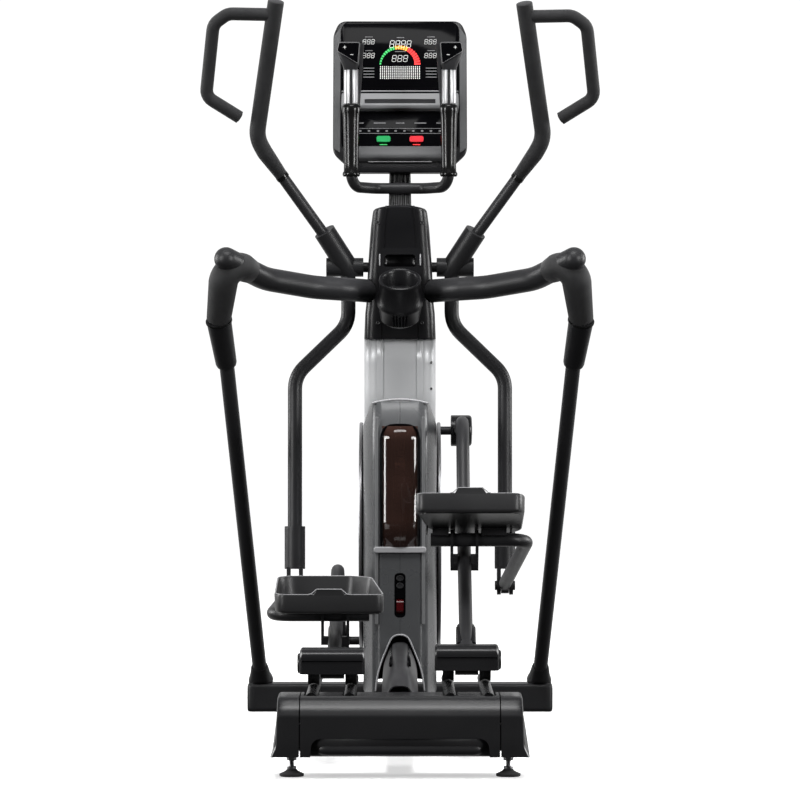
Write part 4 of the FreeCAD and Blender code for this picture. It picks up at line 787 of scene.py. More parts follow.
def frame_strip(name, outline, wide, deep, place, look, body="frame"):
    """A raised rim that follows a closed outline."""
    middle = sum((Vector((p[0], p[1])) for p in outline), Vector((0, 0))) / len(outline)

    def grown(by):
        result = []
        count = len(outline)
        for index in range(count):
            before = Vector(outline[index - 1][:2])
            after = Vector(outline[(index + 1) % count][:2])
            along = (after - before).normalized()
            spot = Vector(outline[index][:2])
            normal = Vector((along.y, -along.x))
            if normal.dot(spot - middle) < 0:
                normal = -normal
            result.append(spot + normal * by)
        return result

    rings = []
    section = [(0, 0), (0, deep), (0.25 * wide, deep * 1.25), (0.75 * wide, deep * 1.25), (wide, deep),
               (wide, 0)]
    for out, up in section:
        rings.append([place @ Vector((spot.x, spot.y, up)) for spot in grown(out)])
    rings.append(rings[0])
    mesh = loft_mesh(name, rings, cap_start=False, cap_end=False)
    tidy = bmesh.new()
    tidy.from_mesh(mesh)
    bmesh.ops.remove_doubles(tidy, verts=tidy.verts, dist=1e-6)
    bmesh.ops.recalc_face_normals(tidy, faces=tidy.faces)
    tidy.to_mesh(mesh)
    tidy.free()
    return piece(name, mesh, look, body)


def make_window():
    """The tinted window, bowed outward, with its rim, the lip under it and the brow over the shroud; the
    lip and the brow carry painted highlights.
    """
    rings = []
    for step in range(25):
        x = -0.0405 + 0.081 * step / 24
        bow = 0.012 * (1 - (x / 0.0405) ** 2)
        rings.append([(x, 0.0635 - bow, z) for z in (0.4375, 0.50, 0.60, 0.68, 0.7135)])
    mesh = sheet_mesh("window", rings)
    window = piece("flywheel_window", mesh, "tinted_window", "frame", ["shroud_window"])
    thicken(window, 0.002, 0.0)
    upright = facing_rear(0.0605)
    frame_strip("window_rim", window_outline(), 0.005, 0.003, upright, "gloss_panel")
    # the lip's light grey is a painted highlight along the window's lower edge
    lip = rounded([(-0.06, 0.424), (0.06, 0.424), (0.06, 0.438), (-0.06, 0.438)], 0.0065)
    piece("window_lip", plate("lip", lip, 0.008, upright), "painted_highlight", "frame", bevel=0.002)
    # the brow is a thin light grey tube: a painted highlight along the shroud's top rim
    brow = [Vector((0.0635 * share, 0.0965, 0.7655 + 0.0085 * (1 - share ** 2))) for share in
            (step / 10 for step in range(-10, 11))]
    piece("shroud_brow", tube_mesh("brow", brow, 0.0028, 16, 0.002), "painted_highlight", "frame")


def make_front_panel_trim():
    """Vertical strips beside the window, the rim of the arch as a painted highlight line, and the power
    switch panel.
    """
    upright = facing_rear(0.0602)
    for side in SIDES.values():
        strip = rounded([(side * 0.0495, 0.26), (side * 0.0575, 0.26), (side * 0.0575, 0.735),
                         (side * 0.0495, 0.735)], 0.0039)
        strip = strip if side > 0 else list(reversed(strip))
        piece("panel_strip_%d" % (side + 1), plate("strip", strip, 0.0035, upright), "shelf_plastic",
              "frame", bevel=0.0015)
    # the arch rim is a thin light grey tube: a painted highlight along the arch's edge
    rim = arch_outline(0.001)[1:]
    spots = [upright @ Vector((x, y, 0.001)) for x, y, _ in rim]
    tube = tube_mesh("arch_rim", [spot for spot in spots if spot.z > 0.1], 0.0022, 12, 0.002)
    piece("arch_rim", tube, "painted_highlight", "frame")
    slot = rounded([(-0.0126, 0.2765), (0.0126, 0.2765), (0.0126, 0.3775), (-0.0126, 0.3775)], 0.0108)
    panel = piece("switch_plate", plate("switch", slot, 0.005, facing_rear(0.0685)),
                  "gloss_panel", "frame", ["switch_panel"])
    mouth = rounded([(-0.0096, 0.2835), (0.0096, 0.2835), (0.0096, 0.3205), (-0.0096, 0.3205)], 0.003)
    carve(panel, [plate("mouth", mouth, 0.05, facing_rear(0.09))])
    facing = facing_rear(0.0635)
    profile = [(-0.001, 0.0065), (0.0005, 0.007), (0.0022, 0.0066), (0.0026, 0.0052), (0.0012, 0.0046),
               (0.0012, 0.0004)]
    for count, z in enumerate((0.349, 0.366)):
        place = facing @ Matrix.Translation((0, z, 0)) @ Matrix.Scale(1.25, 4, (1, 0, 0))
        piece("power_inlet_%d" % count, turned_mesh("inlet", profile, place, 32), "satin_plastic", "frame")


# ---------------------------------------------------------------- mast covers and cup

def tower_ring(z, half, deep, corner, flat, step):
    """A level ring round the mast, whose rear face carries a flat panel set back by a step."""
    middle = mast_y(z)
    rear = middle - deep
    points = [(-half, middle + deep), (-half, rear), (half, rear), (half, middle + deep)]
    outline = rounded(points, [corner * 0.6, corner, corner, corner * 0.6], 8)
    ring = [(x, y, z) for x, y, _ in outline]
    start = next(count for count, spot in enumerate(ring) if abs(spot[1] - rear) < 1e-5)
    panel = [(-flat - 0.002, rear, z), (-flat, rear + step, z), (-flat * 0.4, rear + step * 0.9, z),
             (flat * 0.4, rear + step * 0.9, z), (flat, rear + step, z), (flat + 0.002, rear, z)]
    return ring[:start + 1] + panel + ring[start + 1:]


def make_mast_cover():
    """The silver cover: bright rounded flanks beside a flat centre panel."""
    low, high = span("mast_cover", 2)
    rings = [tower_ring(z, 0.085 - inset, 0.058 - inset, 0.042, 0.050, 0.0025)
             for z, inset in ((low, 0.001), (low + 0.002, 0), (0.8, 0), (0.86, 0), (high, 0))]
    mesh = loft_mesh("silver", rings, cap_start=False, cap_end=False)
    cover = piece("mast_cover_shell", mesh, "silver_paint", "frame", ["mast_cover"])
    thicken(cover, 0.003)
    facing = turn_about_x(90)
    for z in (0.80, 0.862):
        screw = [(-0.001, 0.0032), (0.0008, 0.0034), (0.0016, 0.0026), (0.0012, 0.0015), (0.0004, 0.0012),
                 (0.0004, 0.0002)]
        turned = Matrix.Rotation(math.radians(38), 4, "Z") @ facing
        place = Matrix.Translation((0.074, mast_y(z) - 0.0475, z)) @ turned
        piece("mast_screw_%d" % round(z * 1000), turned_mesh("screw", screw, place, 24), "satin_plastic",
              "frame")


def pocket_outline(shrink):
    """The opening over the cup, a little narrower on top."""
    half, low, high = 0.040 - shrink, 1.087 + shrink, 1.116 - shrink
    return rounded([(-half, low), (half, low), (half - 0.004, high), (0.004 - half, high)], 0.008)


def make_upper_housing():
    """The black housing round the pivot: a tapering shell, domed on top, with a pocket over the cup."""
    low, high = span("upper_housing", 2)
    levels = [(low, 0.085, 0.080), (low + 0.06, 0.0825, 0.0785), (1.0, 0.080, 0.076), (1.06, 0.077, 0.073),
              (1.12, 0.0735, 0.0695), (1.18, 0.0690, 0.066), (high - 0.012, 0.0645, 0.0625),
              (high - 0.005, 0.0630, 0.061), (high - 0.001, 0.0590, 0.057), (high, 0.053, 0.051)]
    rings = [tower_ring(z, half, deep, min(0.034, half * 0.48), 0.5 * half,
                        0.003) for z, half, deep in levels]
    rings = [[(x, y, z - 0.009 * (x / 0.065) ** 2 * max(0.0, 1 - (high - z) / 0.05)) for x, y, z in ring]
             for ring in rings]
    mesh = loft_mesh("housing", rings, cap_start=False)
    housing = piece("mast_housing", mesh, "housing_plastic", "frame", ["upper_housing"])
    thicken(housing, 0.003)
    upright = turn_about_x(90)
    pocket = pocket_outline(0.0)
    pivot = joint_place("swing_right")
    axle = circle(0.014, 32, pivot.y, pivot.z)
    across = Matrix.Translation((-0.12, 0, 0)) @ FACE_X
    cutters = [plate("pocket", pocket, 0.1, facing_rear(0.40)), plate("axle", axle, 0.24, across)]
    carve(housing, cutters)
    rear = mast_y(1.10) - 0.0705
    tray = [[facing_rear(rear + depth) @ spot for spot in pocket_outline(shrink)]
            for depth, shrink in ((0.0, -0.0002), (0.02, 0.0008), (0.03, 0.0038), (0.033, 0.0088))]
    pocket_mesh = loft_mesh("pocket_tray", tray, cap_start=False)
    pocket_piece = piece("housing_pocket_tray", pocket_mesh, "housing_plastic", "frame")
    thicken(pocket_piece, 0.002, 1.0)
    bracket = rounded([(-0.046, 1.046), (0.046, 1.046), (0.0535, 1.080), (0.0505, 1.131), (-0.0505, 1.131),
                       (-0.0535, 1.080)],
                      [0.006, 0.006, 0.012, 0.010, 0.010, 0.012])
    bracket_place = facing_rear(rear + 0.012)
    frame_piece = piece("pocket_bracket", plate("bracket", bracket, 0.018, bracket_place),
                        "housing_plastic", "frame")
    carve(frame_piece, [plate("pocket", pocket, 0.1, facing_rear(0.40))])
    # the two thin light grey posts beside the pocket are painted highlights on its frame
    posts = []
    for side in SIDES.values():
        ends = [facing_rear(rear - 0.0005) @ Vector((side * 0.0478, z, 0.0065)) for z in (1.090, 1.116)]
        posts.append(tube_mesh("post", ends, 0.0017, 12, 0.001))
    piece("pocket_posts", join_meshes("posts", posts), "painted_highlight", "frame")
    for side in SIDES.values():
        screw = [(-0.001, 0.0042), (0.0008, 0.0044), (0.0018, 0.0036), (0.0012, 0.002), (0.0004, 0.0016),
                 (0.0004, 0.0002)]
        for z in (0.955, 1.19):
            deep = 0.0795 if z < 1 else 0.0645
            place = Matrix.Translation((side * 0.052, mast_y(z) - deep, z)) @ upright
            screw_name = "housing_screw_%d_%d" % (side + 1, round(z * 1000))
            piece(screw_name, turned_mesh("screw", screw, place, 24), "satin_plastic", "frame")


def make_cup_holder():
    """A deep cup with a rolled lip, a waist ring, ribs down its rear and a foot that joins the housing."""
    cup = Matrix.Translation((0, 0.300, 1.056)) @ turn_about_x(32)
    deep = 0.105
    outside = [(-deep - 0.006, 0.028), (-deep - 0.006, 0.040), (-deep, 0.0460), (-0.072, 0.0508),
               (-0.068, 0.0535),
               (-0.060, 0.0540), (-0.055, 0.0520), (-0.02, 0.0490), (-0.012, 0.0492), (-0.003, 0.0500),
               (0.0, 0.0490)]
    inside = [(0.0012, 0.047), (0.0, 0.044), (-0.004, 0.0412), (-deep + 0.012, 0.0315),
              (-deep + 0.002, 0.027), (-deep, 0.020),
              (-deep, 0.0002)]
    closed = [(-deep - 0.006, 0.0002)] + outside + inside
    piece("cup_shell", turned_mesh("cup", closed, cup, 64), "housing_plastic", "frame", ["cup_holder"])
    for count in range(5):
        turn = math.radians(-90 + (count - 2) * 9)
        spots = [cup @ Vector((radius * math.cos(turn), radius * math.sin(turn), along))
                 for along, radius in ((-deep + 0.002, 0.0463), (-0.073, 0.0508))]
        piece("cup_rib_%d" % count, tube_mesh("rib", spots, 0.0020, 12, 0.0016), "gloss_panel", "frame")
    ring = [(-0.001, 0.0285), (0.0012, 0.029), (0.002, 0.0265), (0.0008, 0.025), (-0.001, 0.0252)]
    mesh = turned_mesh("ring", ring, cup @ Matrix.Translation((0, 0, -deep + 0.001)), 48)
    piece("cup_drain_ring", mesh, "satin_plastic", "frame")
    foot_rings = []
    for y, half, low, top in ((0.335, 0.034, 0.968, 1.036), (0.352, 0.036, 0.962, 1.042),
                              (0.374, 0.038, 0.955, 1.05)):
        outline = rounded([(-half, low), (half, low), (half * 0.9, top), (-half * 0.9, top)], 0.012)
        foot_rings.append([(x, y, z) for x, z, _ in outline])
    piece("cup_arm", loft_mesh("cup_arm", foot_rings), "housing_plastic", "frame", bevel=0.001)


# ---------------------------------------------------------------- console

CONSOLE = Matrix.Translation((0, 0.430, 1.490)) @ turn_about_x(-15)
FACING = CONSOLE @ turn_about_x(90)          # x across, y up the face, z out towards the user
FACE = 0.012                                 # the bezel's front, out from the console's middle plane
GLASS = FACE + 0.0012                        # the screen glass stands a little proud of the bezel
CONSOLE_HALF, CONSOLE_TALL = 0.1585, 0.189


def on_face(out):
    return FACING @ Matrix.Translation((0, 0, out))


def rectangle(left, low, right, high, radius, steps=5):
    return rounded([(left, low), (right, low), (right, high), (left, high)], radius, steps)


def mark(place, across, up, wide, tall, radius=0, steps=5):
    """A thin bar on a panel, given by its middle and its half sizes."""
    outline = rectangle(across - wide, up - tall, across + wide, up + tall, radius, steps)
    return plate("mark", outline, PRINTED, place)


def face_loft(name, outline, levels):
    """A skin over an outline, shrunk by each level's amount where it stands out of the face."""
    return loft_mesh(name, [[on_face(out) @ spot for spot in outline(shrink)] for out, shrink in levels])


def console_outline(shrink=0.0):
    """The display's outline: chamfered shoulders on top and long chamfers down to a narrower foot."""
    half, tall = CONSOLE_HALF - shrink, CONSOLE_TALL - shrink
    foot = 0.108 - shrink
    corners = [(-foot, -tall), (foot, -tall), (half, -tall + 0.048), (half, tall - 0.036),
               (half - 0.014, tall),
               (-half + 0.014, tall), (-half, tall - 0.036), (-half, -tall + 0.048)]
    return rounded(corners, [0.012, 0.012, 0.016, 0.010, 0.018, 0.018, 0.010, 0.016], 6)


def make_console():
    """The display: back shell, dark rim with grey cheeks, screen, shelf, key panel and lower ledge."""
    sections = [(-0.044, 0.040), (-0.0435, 0.034), (-0.040, 0.026), (-0.030, 0.014), (-0.016, 0.004),
                (-0.004, 0.0008),
                (0.0, 0.0008)]
    piece("console_back_shell", face_loft("back", console_outline, sections), "housing_plastic", "frame",
          ["console_back"])
    rim = [(0.0002, 0.0012), (0.002, 0.0), (FACE - 0.003, 0.0), (FACE - 0.001, 0.001), (FACE, 0.003),
           (FACE, 0.0135),
           (FACE - 0.001, 0.0145), (FACE - 0.003, 0.015)]
    piece("console_rim", face_loft("rim", console_outline, rim), "housing_plastic", "frame",
          ["console_bezel"])
    screen = [(FACE - 0.0032, 0.0), (GLASS - 0.0006, 0.0), (GLASS, 0.0008)]
    piece("screen_glass", face_loft("glass", screen_outline, screen), "gloss_panel", "frame",
          ["console_screen"])
    for side in SIDES.values():
        cheek = [(side * 0.1415, -0.142), (side * 0.1565, -0.130), (side * 0.1570, 0.150),
                 (side * 0.1415, 0.172)]
        cheek = rounded(cheek if side > 0 else list(reversed(cheek)), 0.003)
        mesh = plate("cheek", cheek, 0.0016, on_face(FACE - 0.0004))
        piece("console_cheek_%d" % (side + 1), mesh, "bezel_plastic", "frame", bevel=0.0007)
    make_shelf()
    make_key_panel()
    make_ledge()
    make_readouts()


def screen_outline(shrink):
    """The glass reaches the top of the display, where its corners are round."""
    half, low, high = 0.1400 - shrink, 0.013 + shrink, 0.1872 - shrink
    return rounded([(-half, low), (half, low), (half, high), (-half, high)], [0.002, 0.002, 0.026, 0.026],
                   8)


def make_shelf():
    """The reading shelf under the screen: a grey ledge with a slot for a tablet, and a painted highlight
    line along its top edge.
    """
    profile = rounded([(FACE - 0.004, 0.008), (FACE + 0.003, 0.006), (FACE + 0.017, -0.028),
                       (FACE + 0.014, -0.036), (FACE - 0.004, -0.037)],
                      [0, 0.002, 0.003, 0.003, 0], 4)
    rings = []
    for across, inset in ((-0.139, 0.003), (-0.137, 0.0), (0.137, 0.0), (0.139, 0.003)):
        rings.append([FACING @ Vector((across, up - math.copysign(inset, up + 0.015),
                                       out - inset)) for out, up, _ in profile])
    shelf = piece("tablet_shelf", loft_mesh("shelf", rings), "shelf_plastic", "frame")
    tilt = math.atan2(0.014, 0.034)
    slope = FACING @ Matrix.Translation((0, -0.0185, FACE + 0.0092)) @ Matrix.Rotation(-tilt, 4, "X")
    carve(shelf, [plate("slot", rectangle(-0.084, -0.0068, 0.084, 0.0068, 0.003), 0.02, slope)])
    liner = plate("liner", rectangle(-0.0836, -0.0064, 0.0836, 0.0064, 0.003), 0.002, slope)
    piece("shelf_slot_liner", liner, "moulded_black", "frame")
    # a thin light grey line along the shelf's top edge: a painted highlight
    line = [FACING @ Vector((across, 0.0115, GLASS + 0.0008)) for across in (-0.137, 0.137)]
    piece("shelf_line", tube_mesh("line", line, 0.0012, 12, 0.0012), "painted_highlight", "frame")


def key_panel_outline(shrink):
    return rectangle(-0.139 + shrink, -0.1255 + shrink, 0.139 - shrink, -0.038 - shrink, 0.005)


def make_key_panel():
    """The gloss key panel, with faint printed rules and marks, open for the two keys."""
    layers = [(FACE - 0.0032, 0.0), (FACE - 0.0006, 0.0), (FACE, 0.0008)]
    glass = face_loft("panel", key_panel_outline, layers)
    panel = piece("key_panel_glass", glass, "gloss_panel", "frame", ["key_panel"])
    holes = []
    for middle in (-KEY_X, KEY_X):
        outline = rectangle(middle - 0.0171, -0.1157, middle + 0.0171, -0.1003, 0.0055)
        holes.append(plate("key_hole", outline, 0.03, on_face(0)))
    carve(panel, holes)
    flat = on_face(FACE)
    marks = []
    for up in (-0.0809, -0.0932):
        marks.append(mark(flat, 0, up, 0.104, 0.0006))
    for count in range(10):
        marks.append(mark(flat, -0.094 + 0.0209 * count, -0.0871, 0.0028, 0.0021, 0.0015, 3))
    for count in range(5):
        wide = 0.010 + 0.004 * (count % 2)
        marks.append(mark(flat, -0.096 + 0.048 * count, -0.0675, wide, 0.0013))
    piece("panel_marks", join_meshes("marks", marks), "dim_grey", "frame")
    for side, look in ((-1, "lit_green"), (1, "lit_red")):
        light = mark(flat, side * KEY_X, -0.1211, 0.009, 0.0011, 0.0008, 3)
        piece("key_light_%d" % (side + 1), light, look, "frame")


def make_ledge():
    """The lower ledge of the bezel, which swells towards the user, with a painted highlight line under it.
    """
    profile = rounded([(FACE - 0.006, -0.124), (FACE + 0.004, -0.126), (FACE + 0.011, -0.148),
                       (FACE + 0.010, -0.158),
                       (FACE, -0.162), (FACE - 0.006, -0.162)], [0, 0.003, 0.010, 0.004, 0.003, 0], 5)
    rings = []
    for across, inset in ((-0.102, 0.005), (-0.099, 0.001), (-0.095, 0.0), (0.095, 0.0), (0.099, 0.001),
                          (0.102, 0.005)):
        rings.append([FACING @ Vector((across, up,
                                       max(FACE - 0.006, out - inset))) for out, up, _ in profile])
    piece("console_ledge", loft_mesh("ledge", rings), "bezel_plastic", "frame")
    # a thin light grey tube under the ledge: a painted highlight
    lip = [FACING @ Vector((across, -0.1640, FACE + 0.0012)) for across in (-0.074, 0.074)]
    piece("console_lip", tube_mesh("lip", lip, 0.0012, 12, 0.0012), "painted_highlight", "frame")


SEGMENTS = {"a": ((0.12, 1), (0.88, 1)), "b": ((1, 0.94), (1, 0.56)), "c": ((1, 0.44), (1, 0.06)),
            "d": ((0.12, 0), (0.88, 0)),
            "e": ((0, 0.44), (0, 0.06)), "f": ((0, 0.94), (0, 0.56)), "g": ((0.12, 0.5), (0.88, 0.5))}
EIGHT = "abcdefg"                            # a figure with every segment lit


def digit_strokes(figures, left, low, wide, tall, gap, stroke):
    """Slanted seven-segment figures, all segments lit, as small plates on the glass."""
    meshes = []
    flat = on_face(GLASS)
    for count in range(figures):
        start = left + count * (wide + gap)
        for name in EIGHT:
            (x0, y0), (x1, y1) = SEGMENTS[name]
            ends = [Vector((start + x * wide + 0.16 * y * tall,
                            low + y * tall)) for x, y in ((x0, y0), (x1, y1))]
            along = (ends[1] - ends[0]).normalized()
            side = Vector((-along.y, along.x)) * stroke / 2
            tip = along * stroke / 2
            outline = [ends[0] - tip * 0.2 - side, ends[1] + tip * 0.2 - side, ends[1] + tip,
                       ends[1] + tip * 0.2 + side,
                       ends[0] - tip * 0.2 + side, ends[0] - tip]
            meshes.append(plate("segment", outline, PRINTED, flat))
    return meshes


def make_readouts():
    """Everything lit on the display: numbers, an arc gauge, a bar matrix and the small label bars."""
    white = digit_strokes(4, -0.025, 0.1215, 0.0092, 0.0170, 0.0042, 0.0010)
    white += digit_strokes(3, -0.0195, 0.0860, 0.0090, 0.0155, 0.0044, 0.0009)
    for left in (-0.089, 0.058):
        for low in (0.1300, 0.0955):
            white += digit_strokes(3, left, low, 0.0066, 0.0115, 0.0036, 0.0007)
    flat = on_face(GLASS)
    for column in range(20):
        for row in range(8):
            white.append(mark(flat, -0.0462 + column * 0.00486, 0.0442 + row * 0.0041, 0.0010, 0.0013))
    piece("readout_white", join_meshes("white", white), "lit_white", "frame")
    colours = {"lit_green": [], "lit_orange": [], "lit_red": []}
    ticks = 22
    for count in range(ticks):
        turn = math.pi * (1 - (count + 0.5) / ticks)
        inner, outer = 0.0452 - 0.0110 * (count + 1) / ticks, 0.0485
        across = Vector((-math.sin(turn), math.cos(turn))) * 0.0021
        way = Vector((math.cos(turn), math.sin(turn)))
        middle = Vector((0, 0.0775))
        outline = [middle + way * inner + across, middle + way * outer + across * 1.15,
                   middle + way * outer - across * 1.15,
                   middle + way * inner - across]
        look = "lit_green" if count < 9 else "lit_orange" if count < 14 else "lit_red"
        colours[look].append(plate("tick", outline, PRINTED, flat))
    for look, meshes in colours.items():
        piece("gauge_" + look, join_meshes(look, meshes), look, "frame")
    faint = [mark(flat, 0, 0.0128, 0.089, 0.0006)]
    for side in (-1, 1):
        for count in range(4):
            faint.append(mark(flat, side * LABEL_X, 0.0470 + 0.0075 * count, 0.013, 0.001))
        for up in (0.148, 0.1135):
            faint.append(mark(flat, side * LABEL_X, up, 0.009, 0.0008))
    for up, wide in ((0.14625, 0.009), (0.11125, 0.013)):
        faint.append(mark(flat, 0.001, up, wide, 0.00075))
    piece("readout_labels", join_meshes("labels", faint), "dim_grey", "frame")


def make_console_stem():
    """A neck with upright flutes between the housing and the console."""
    low, high = span("console_stem", 2)
    flutes = 48
    rings = []
    for share in (0.0, 0.04, 0.5, 1.0):
        z = low + (high - low) * share
        half = 0.0268 - 0.002 * share
        deep = 0.024 - 0.010 * share
        middle = mast_y(low) + (0.410 - mast_y(low)) * share
        ring = [(-half, middle + deep, z)]
        for step in range(flutes + 1):
            across = -half + 2 * half * step / flutes
            groove = 0.0016 * (1 - math.cos(2 * math.pi * 5 * step / flutes)) / 2
            ring.append((across, middle - deep + groove, z))
        ring.append((half, middle + deep, z))
        rings.append(ring)
    piece("console_neck", loft_mesh("neck", rings), "moulded_black", "frame", ["console_stem"],
          smooth_angle=50)


# ---------------------------------------------------------------- pulse bar

PULSE_X, PULSE_Y = 0.114, 0.300


def make_pulse_bar():
    """Rubber grips, steel sensor plates and the two key heads of the fixed bar."""
    for name, side in SIDES.items():
        foot = Matrix.Translation((side * PULSE_X, PULSE_Y, 0))
        grip = [(1.296, 0.0134), (1.296, 0.0185), (1.299, 0.0205), (1.304, 0.0205), (1.308, 0.0178),
                (1.33, 0.0172), (1.38, 0.0180),
                (1.43, 0.0192), (1.444, 0.0200), (1.448, 0.0215), (1.460, 0.0215), (1.463, 0.0195),
                (1.463, 0.0134)]
        closed = grip + [(1.296, 0.0134)]
        piece("pulse_grip_" + name, turned_mesh("grip", closed[:-1], foot, 40), "gloss_rubber", "frame",
              ["pulse_grips"])
        make_sensor(name, side)
        make_pulse_head(name, side)


def make_sensor(name, side):
    """Two steel half sleeves with a dark seam between them."""
    low, high = 1.464, 1.5475
    seam = tube_mesh("seam", [Vector((side * PULSE_X, PULSE_Y, z)) for z in (low, high)], 0.0160, 40)
    piece("sensor_core_" + name, seam, "satin_plastic", "frame")
    for count, centre in enumerate((0, 180)):
        rings = []
        for z, swell in ((low + 0.001, -0.0006), (low + 0.003, 0.0), (high - 0.003, 0.0),
                         (high - 0.001, -0.0006)):
            arc = [math.radians(centre - 78 + 156 * step / 20) for step in range(21)]
            rings.append([(side * PULSE_X + (0.0176 + swell) * math.cos(turn),
                           PULSE_Y + (0.0176 + swell) * math.sin(turn), z)
                          for turn in arc])
        mesh = sheet_mesh("plate", rings)
        plate_piece = piece("sensor_%s_%d" % (name, count), mesh, "chrome", "frame", ["pulse_sensors"])
        thicken(plate_piece, 0.0012)


def make_pulse_head(name, side):
    """The head on top of the bar: it spreads outward, with a rimmed pad, two marks and an inner fin."""
    low, high = span("pulse_heads", 2)
    pad_low, pad_middle = high - 0.051, high - 0.023
    levels = [(low - 0.004, 0.013, 0.0185, 0.0175), (low + 0.004, 0.0165, 0.0195, 0.019),
              (pad_low, 0.0185, 0.0220, 0.0200), (pad_middle, 0.0205, 0.0345, 0.022),
              (high - 0.005, 0.0215, 0.0315, 0.021), (high - 0.001, 0.0190, 0.0285, 0.017),
              (high, 0.014, 0.022, 0.011)]
    rings = []
    for z, inner, outer, deep in levels:
        left, right = (-inner, outer) if side > 0 else (-outer, inner)
        outline = rectangle(left, -deep, right, deep, min(0.009, deep * 0.8))
        rings.append([(side * PULSE_X + x, PULSE_Y + y, z) for x, y, _ in outline])
    piece("pulse_head_" + name, loft_mesh("head", rings), "satin_plastic", "frame", ["pulse_heads"])
    face = Matrix.Translation((side * PULSE_X, PULSE_Y - 0.0205, 0)) @ turn_about_x(90)
    pad = [(-0.0150, pad_low), (0.0320, pad_middle), (0.0280, high - 0.004), (-0.0190, high - 0.004)]
    pad = [(side * x, z) for x, z in pad]
    pad = rounded(pad if side > 0 else list(reversed(pad)), 0.003)
    piece("pulse_pad_" + name, plate("pad", pad, 0.0026, face), "gloss_panel", "frame", bevel=0.0006)
    frame_strip("pulse_pad_rim_" + name, pad, 0.0008, 0.0026, face, "chrome")
    fin = [(-0.0178, 1.436), (-0.0186, 1.436), (-0.0300, high - 0.003), (-0.0190, high - 0.003)]
    fin = [(side * x, z) for x, z in fin]
    fin_place = face @ Matrix.Translation((0, 0, -0.028))
    mesh = plate("fin", fin if side > 0 else list(reversed(fin)), 0.016, fin_place)
    piece("pulse_fin_" + name, mesh, "satin_plastic", "frame", bevel=0.0003)
    flat = face @ Matrix.Translation((0, 0, 0.0026))
    plus, minus = (side * 0.0150, high - 0.0140), (side * -0.0016, high - 0.0315)
    strokes = [mark(flat, x, z, wide, tall) for (x, z), wide,
               tall in ((plus, 0.0034, 0.0006), (plus, 0.0006, 0.0034), (minus, 0.0034, 0.0006))]
    piece("pulse_mark_" + name, join_meshes("mark", strokes), "lit_white", "frame")


# ---------------------------------------------------------------- grips

def make_swing_grips():
    """Foam sleeves on the upper arms: a straight grip with a looped second hand position."""
    for name, side in SIDES.items():
        place = swing_frame(name)
        main = [upper_place(side, *spot) for spot in ((0.279, 1.299), (0.318, 1.352), (0.337, 1.386),
                                                      (0.288, 1.690))]
        loop = [upper_place(side, *spot) for spot in ((0.296, 1.661), (0.400, 1.663), (0.434, 1.640),
                                                      (0.454, 1.478), (0.376, 1.431))]

        def swell(share):
            ends = min(1.0, share / 0.05)
            return 0.0150 + 0.0042 * ends ** 0.6

        spots = [place @ spot for spot in path_points(main, [0.06, 0.075])]
        foam_tube = piece("swing_foam_" + name, tube_mesh("foam", spots, swell, 40, 0.0035), "foam_rubber",
                          "swing_arm_" + name,
                          ["swing_grip_" + name])
        spots = [place @ spot for spot in path_points(loop, [0.034, 0.034, 0.030])]
        loop_tube = piece("swing_loop_" + name, tube_mesh("loop", spots, 0.0152, 36, 0.001), "foam_rubber",
                          "swing_arm_" + name,
                          ["swing_grip_" + name])
        core = [place @ upper_place(side, *spot) for spot in ((0.390, 1.4395), (0.3745, 1.4301))]
        piece("loop_plug_" + name, tube_mesh("plug", core, 0.0102, 24, 0.001), "satin_plastic",
              "swing_arm_" + name)
        collar = [place @ upper_place(side, *spot) for spot in ((0.2745, 1.2929), (0.2795, 1.2997))]
        piece("foam_collar_" + name, tube_mesh("collar", collar, 0.0158, 32, 0.0012), "gloss_rubber",
              "swing_arm_" + name)


def make_elbow_grips():
    """A soft moulded pad over each elbow of the side frame, and the tapered sleeve below it."""
    elbow = Vector((0.401, 0.152, 1.098))
    hip = Vector((0.421, 0.225, 0.960))
    knee = Vector((0.405, 0.3, 0.85))
    inward = Vector((0.314, 0.25, 1.055))
    for name, side in SIDES.items():
        flip = Matrix.Scale(-1, 4, X_AXIS) if side < 0 else Matrix.Identity(4)
        start = elbow + (inward - elbow) * 0.62
        spots = [flip @ spot for spot in path_points([start, elbow, hip], [0.034], 0.004)]

        def pad_size(share):
            bulge = math.sin(math.pi * min(1, max(0, share)))
            ends = min(1.0, min(share, 1 - share) / 0.06)
            return 0.0285 + 0.0035 * ends ** 0.5 + 0.0022 * bulge

        pad = piece("elbow_pad_" + name, tube_mesh("pad", spots, pad_size, 48, 0.006), "pad_rubber",
                    "frame", ["elbow_grips"])
        bottom = hip + (knee - hip) * 0.95
        way = [flip @ (hip + (bottom - hip) * share) for share in (0.0, 0.03, 0.1, 0.5, 0.8, 0.95, 1.0)]

        def sleeve_size(share):
            return 0.0292 - 0.0045 * share - (0.0018 if share > 0.97 else 0)

        sleeve = tube_mesh("sleeve", way, sleeve_size, 44, 0.0015)
        piece("elbow_sleeve_" + name, sleeve, "moulded_black", "frame", ["elbow_grips"])
        seam_at = hip + (bottom - hip) * 0.03
        ring = [flip @ (seam_at + (bottom - hip).normalized() * along) for along in (-0.002, 0.002)]
        piece("elbow_seam_" + name, tube_mesh("seam", ring, 0.0312, 44, 0.001), "gloss_rubber", "frame")


# ---------------------------------------------------------------- pedals, hoods and joint covers

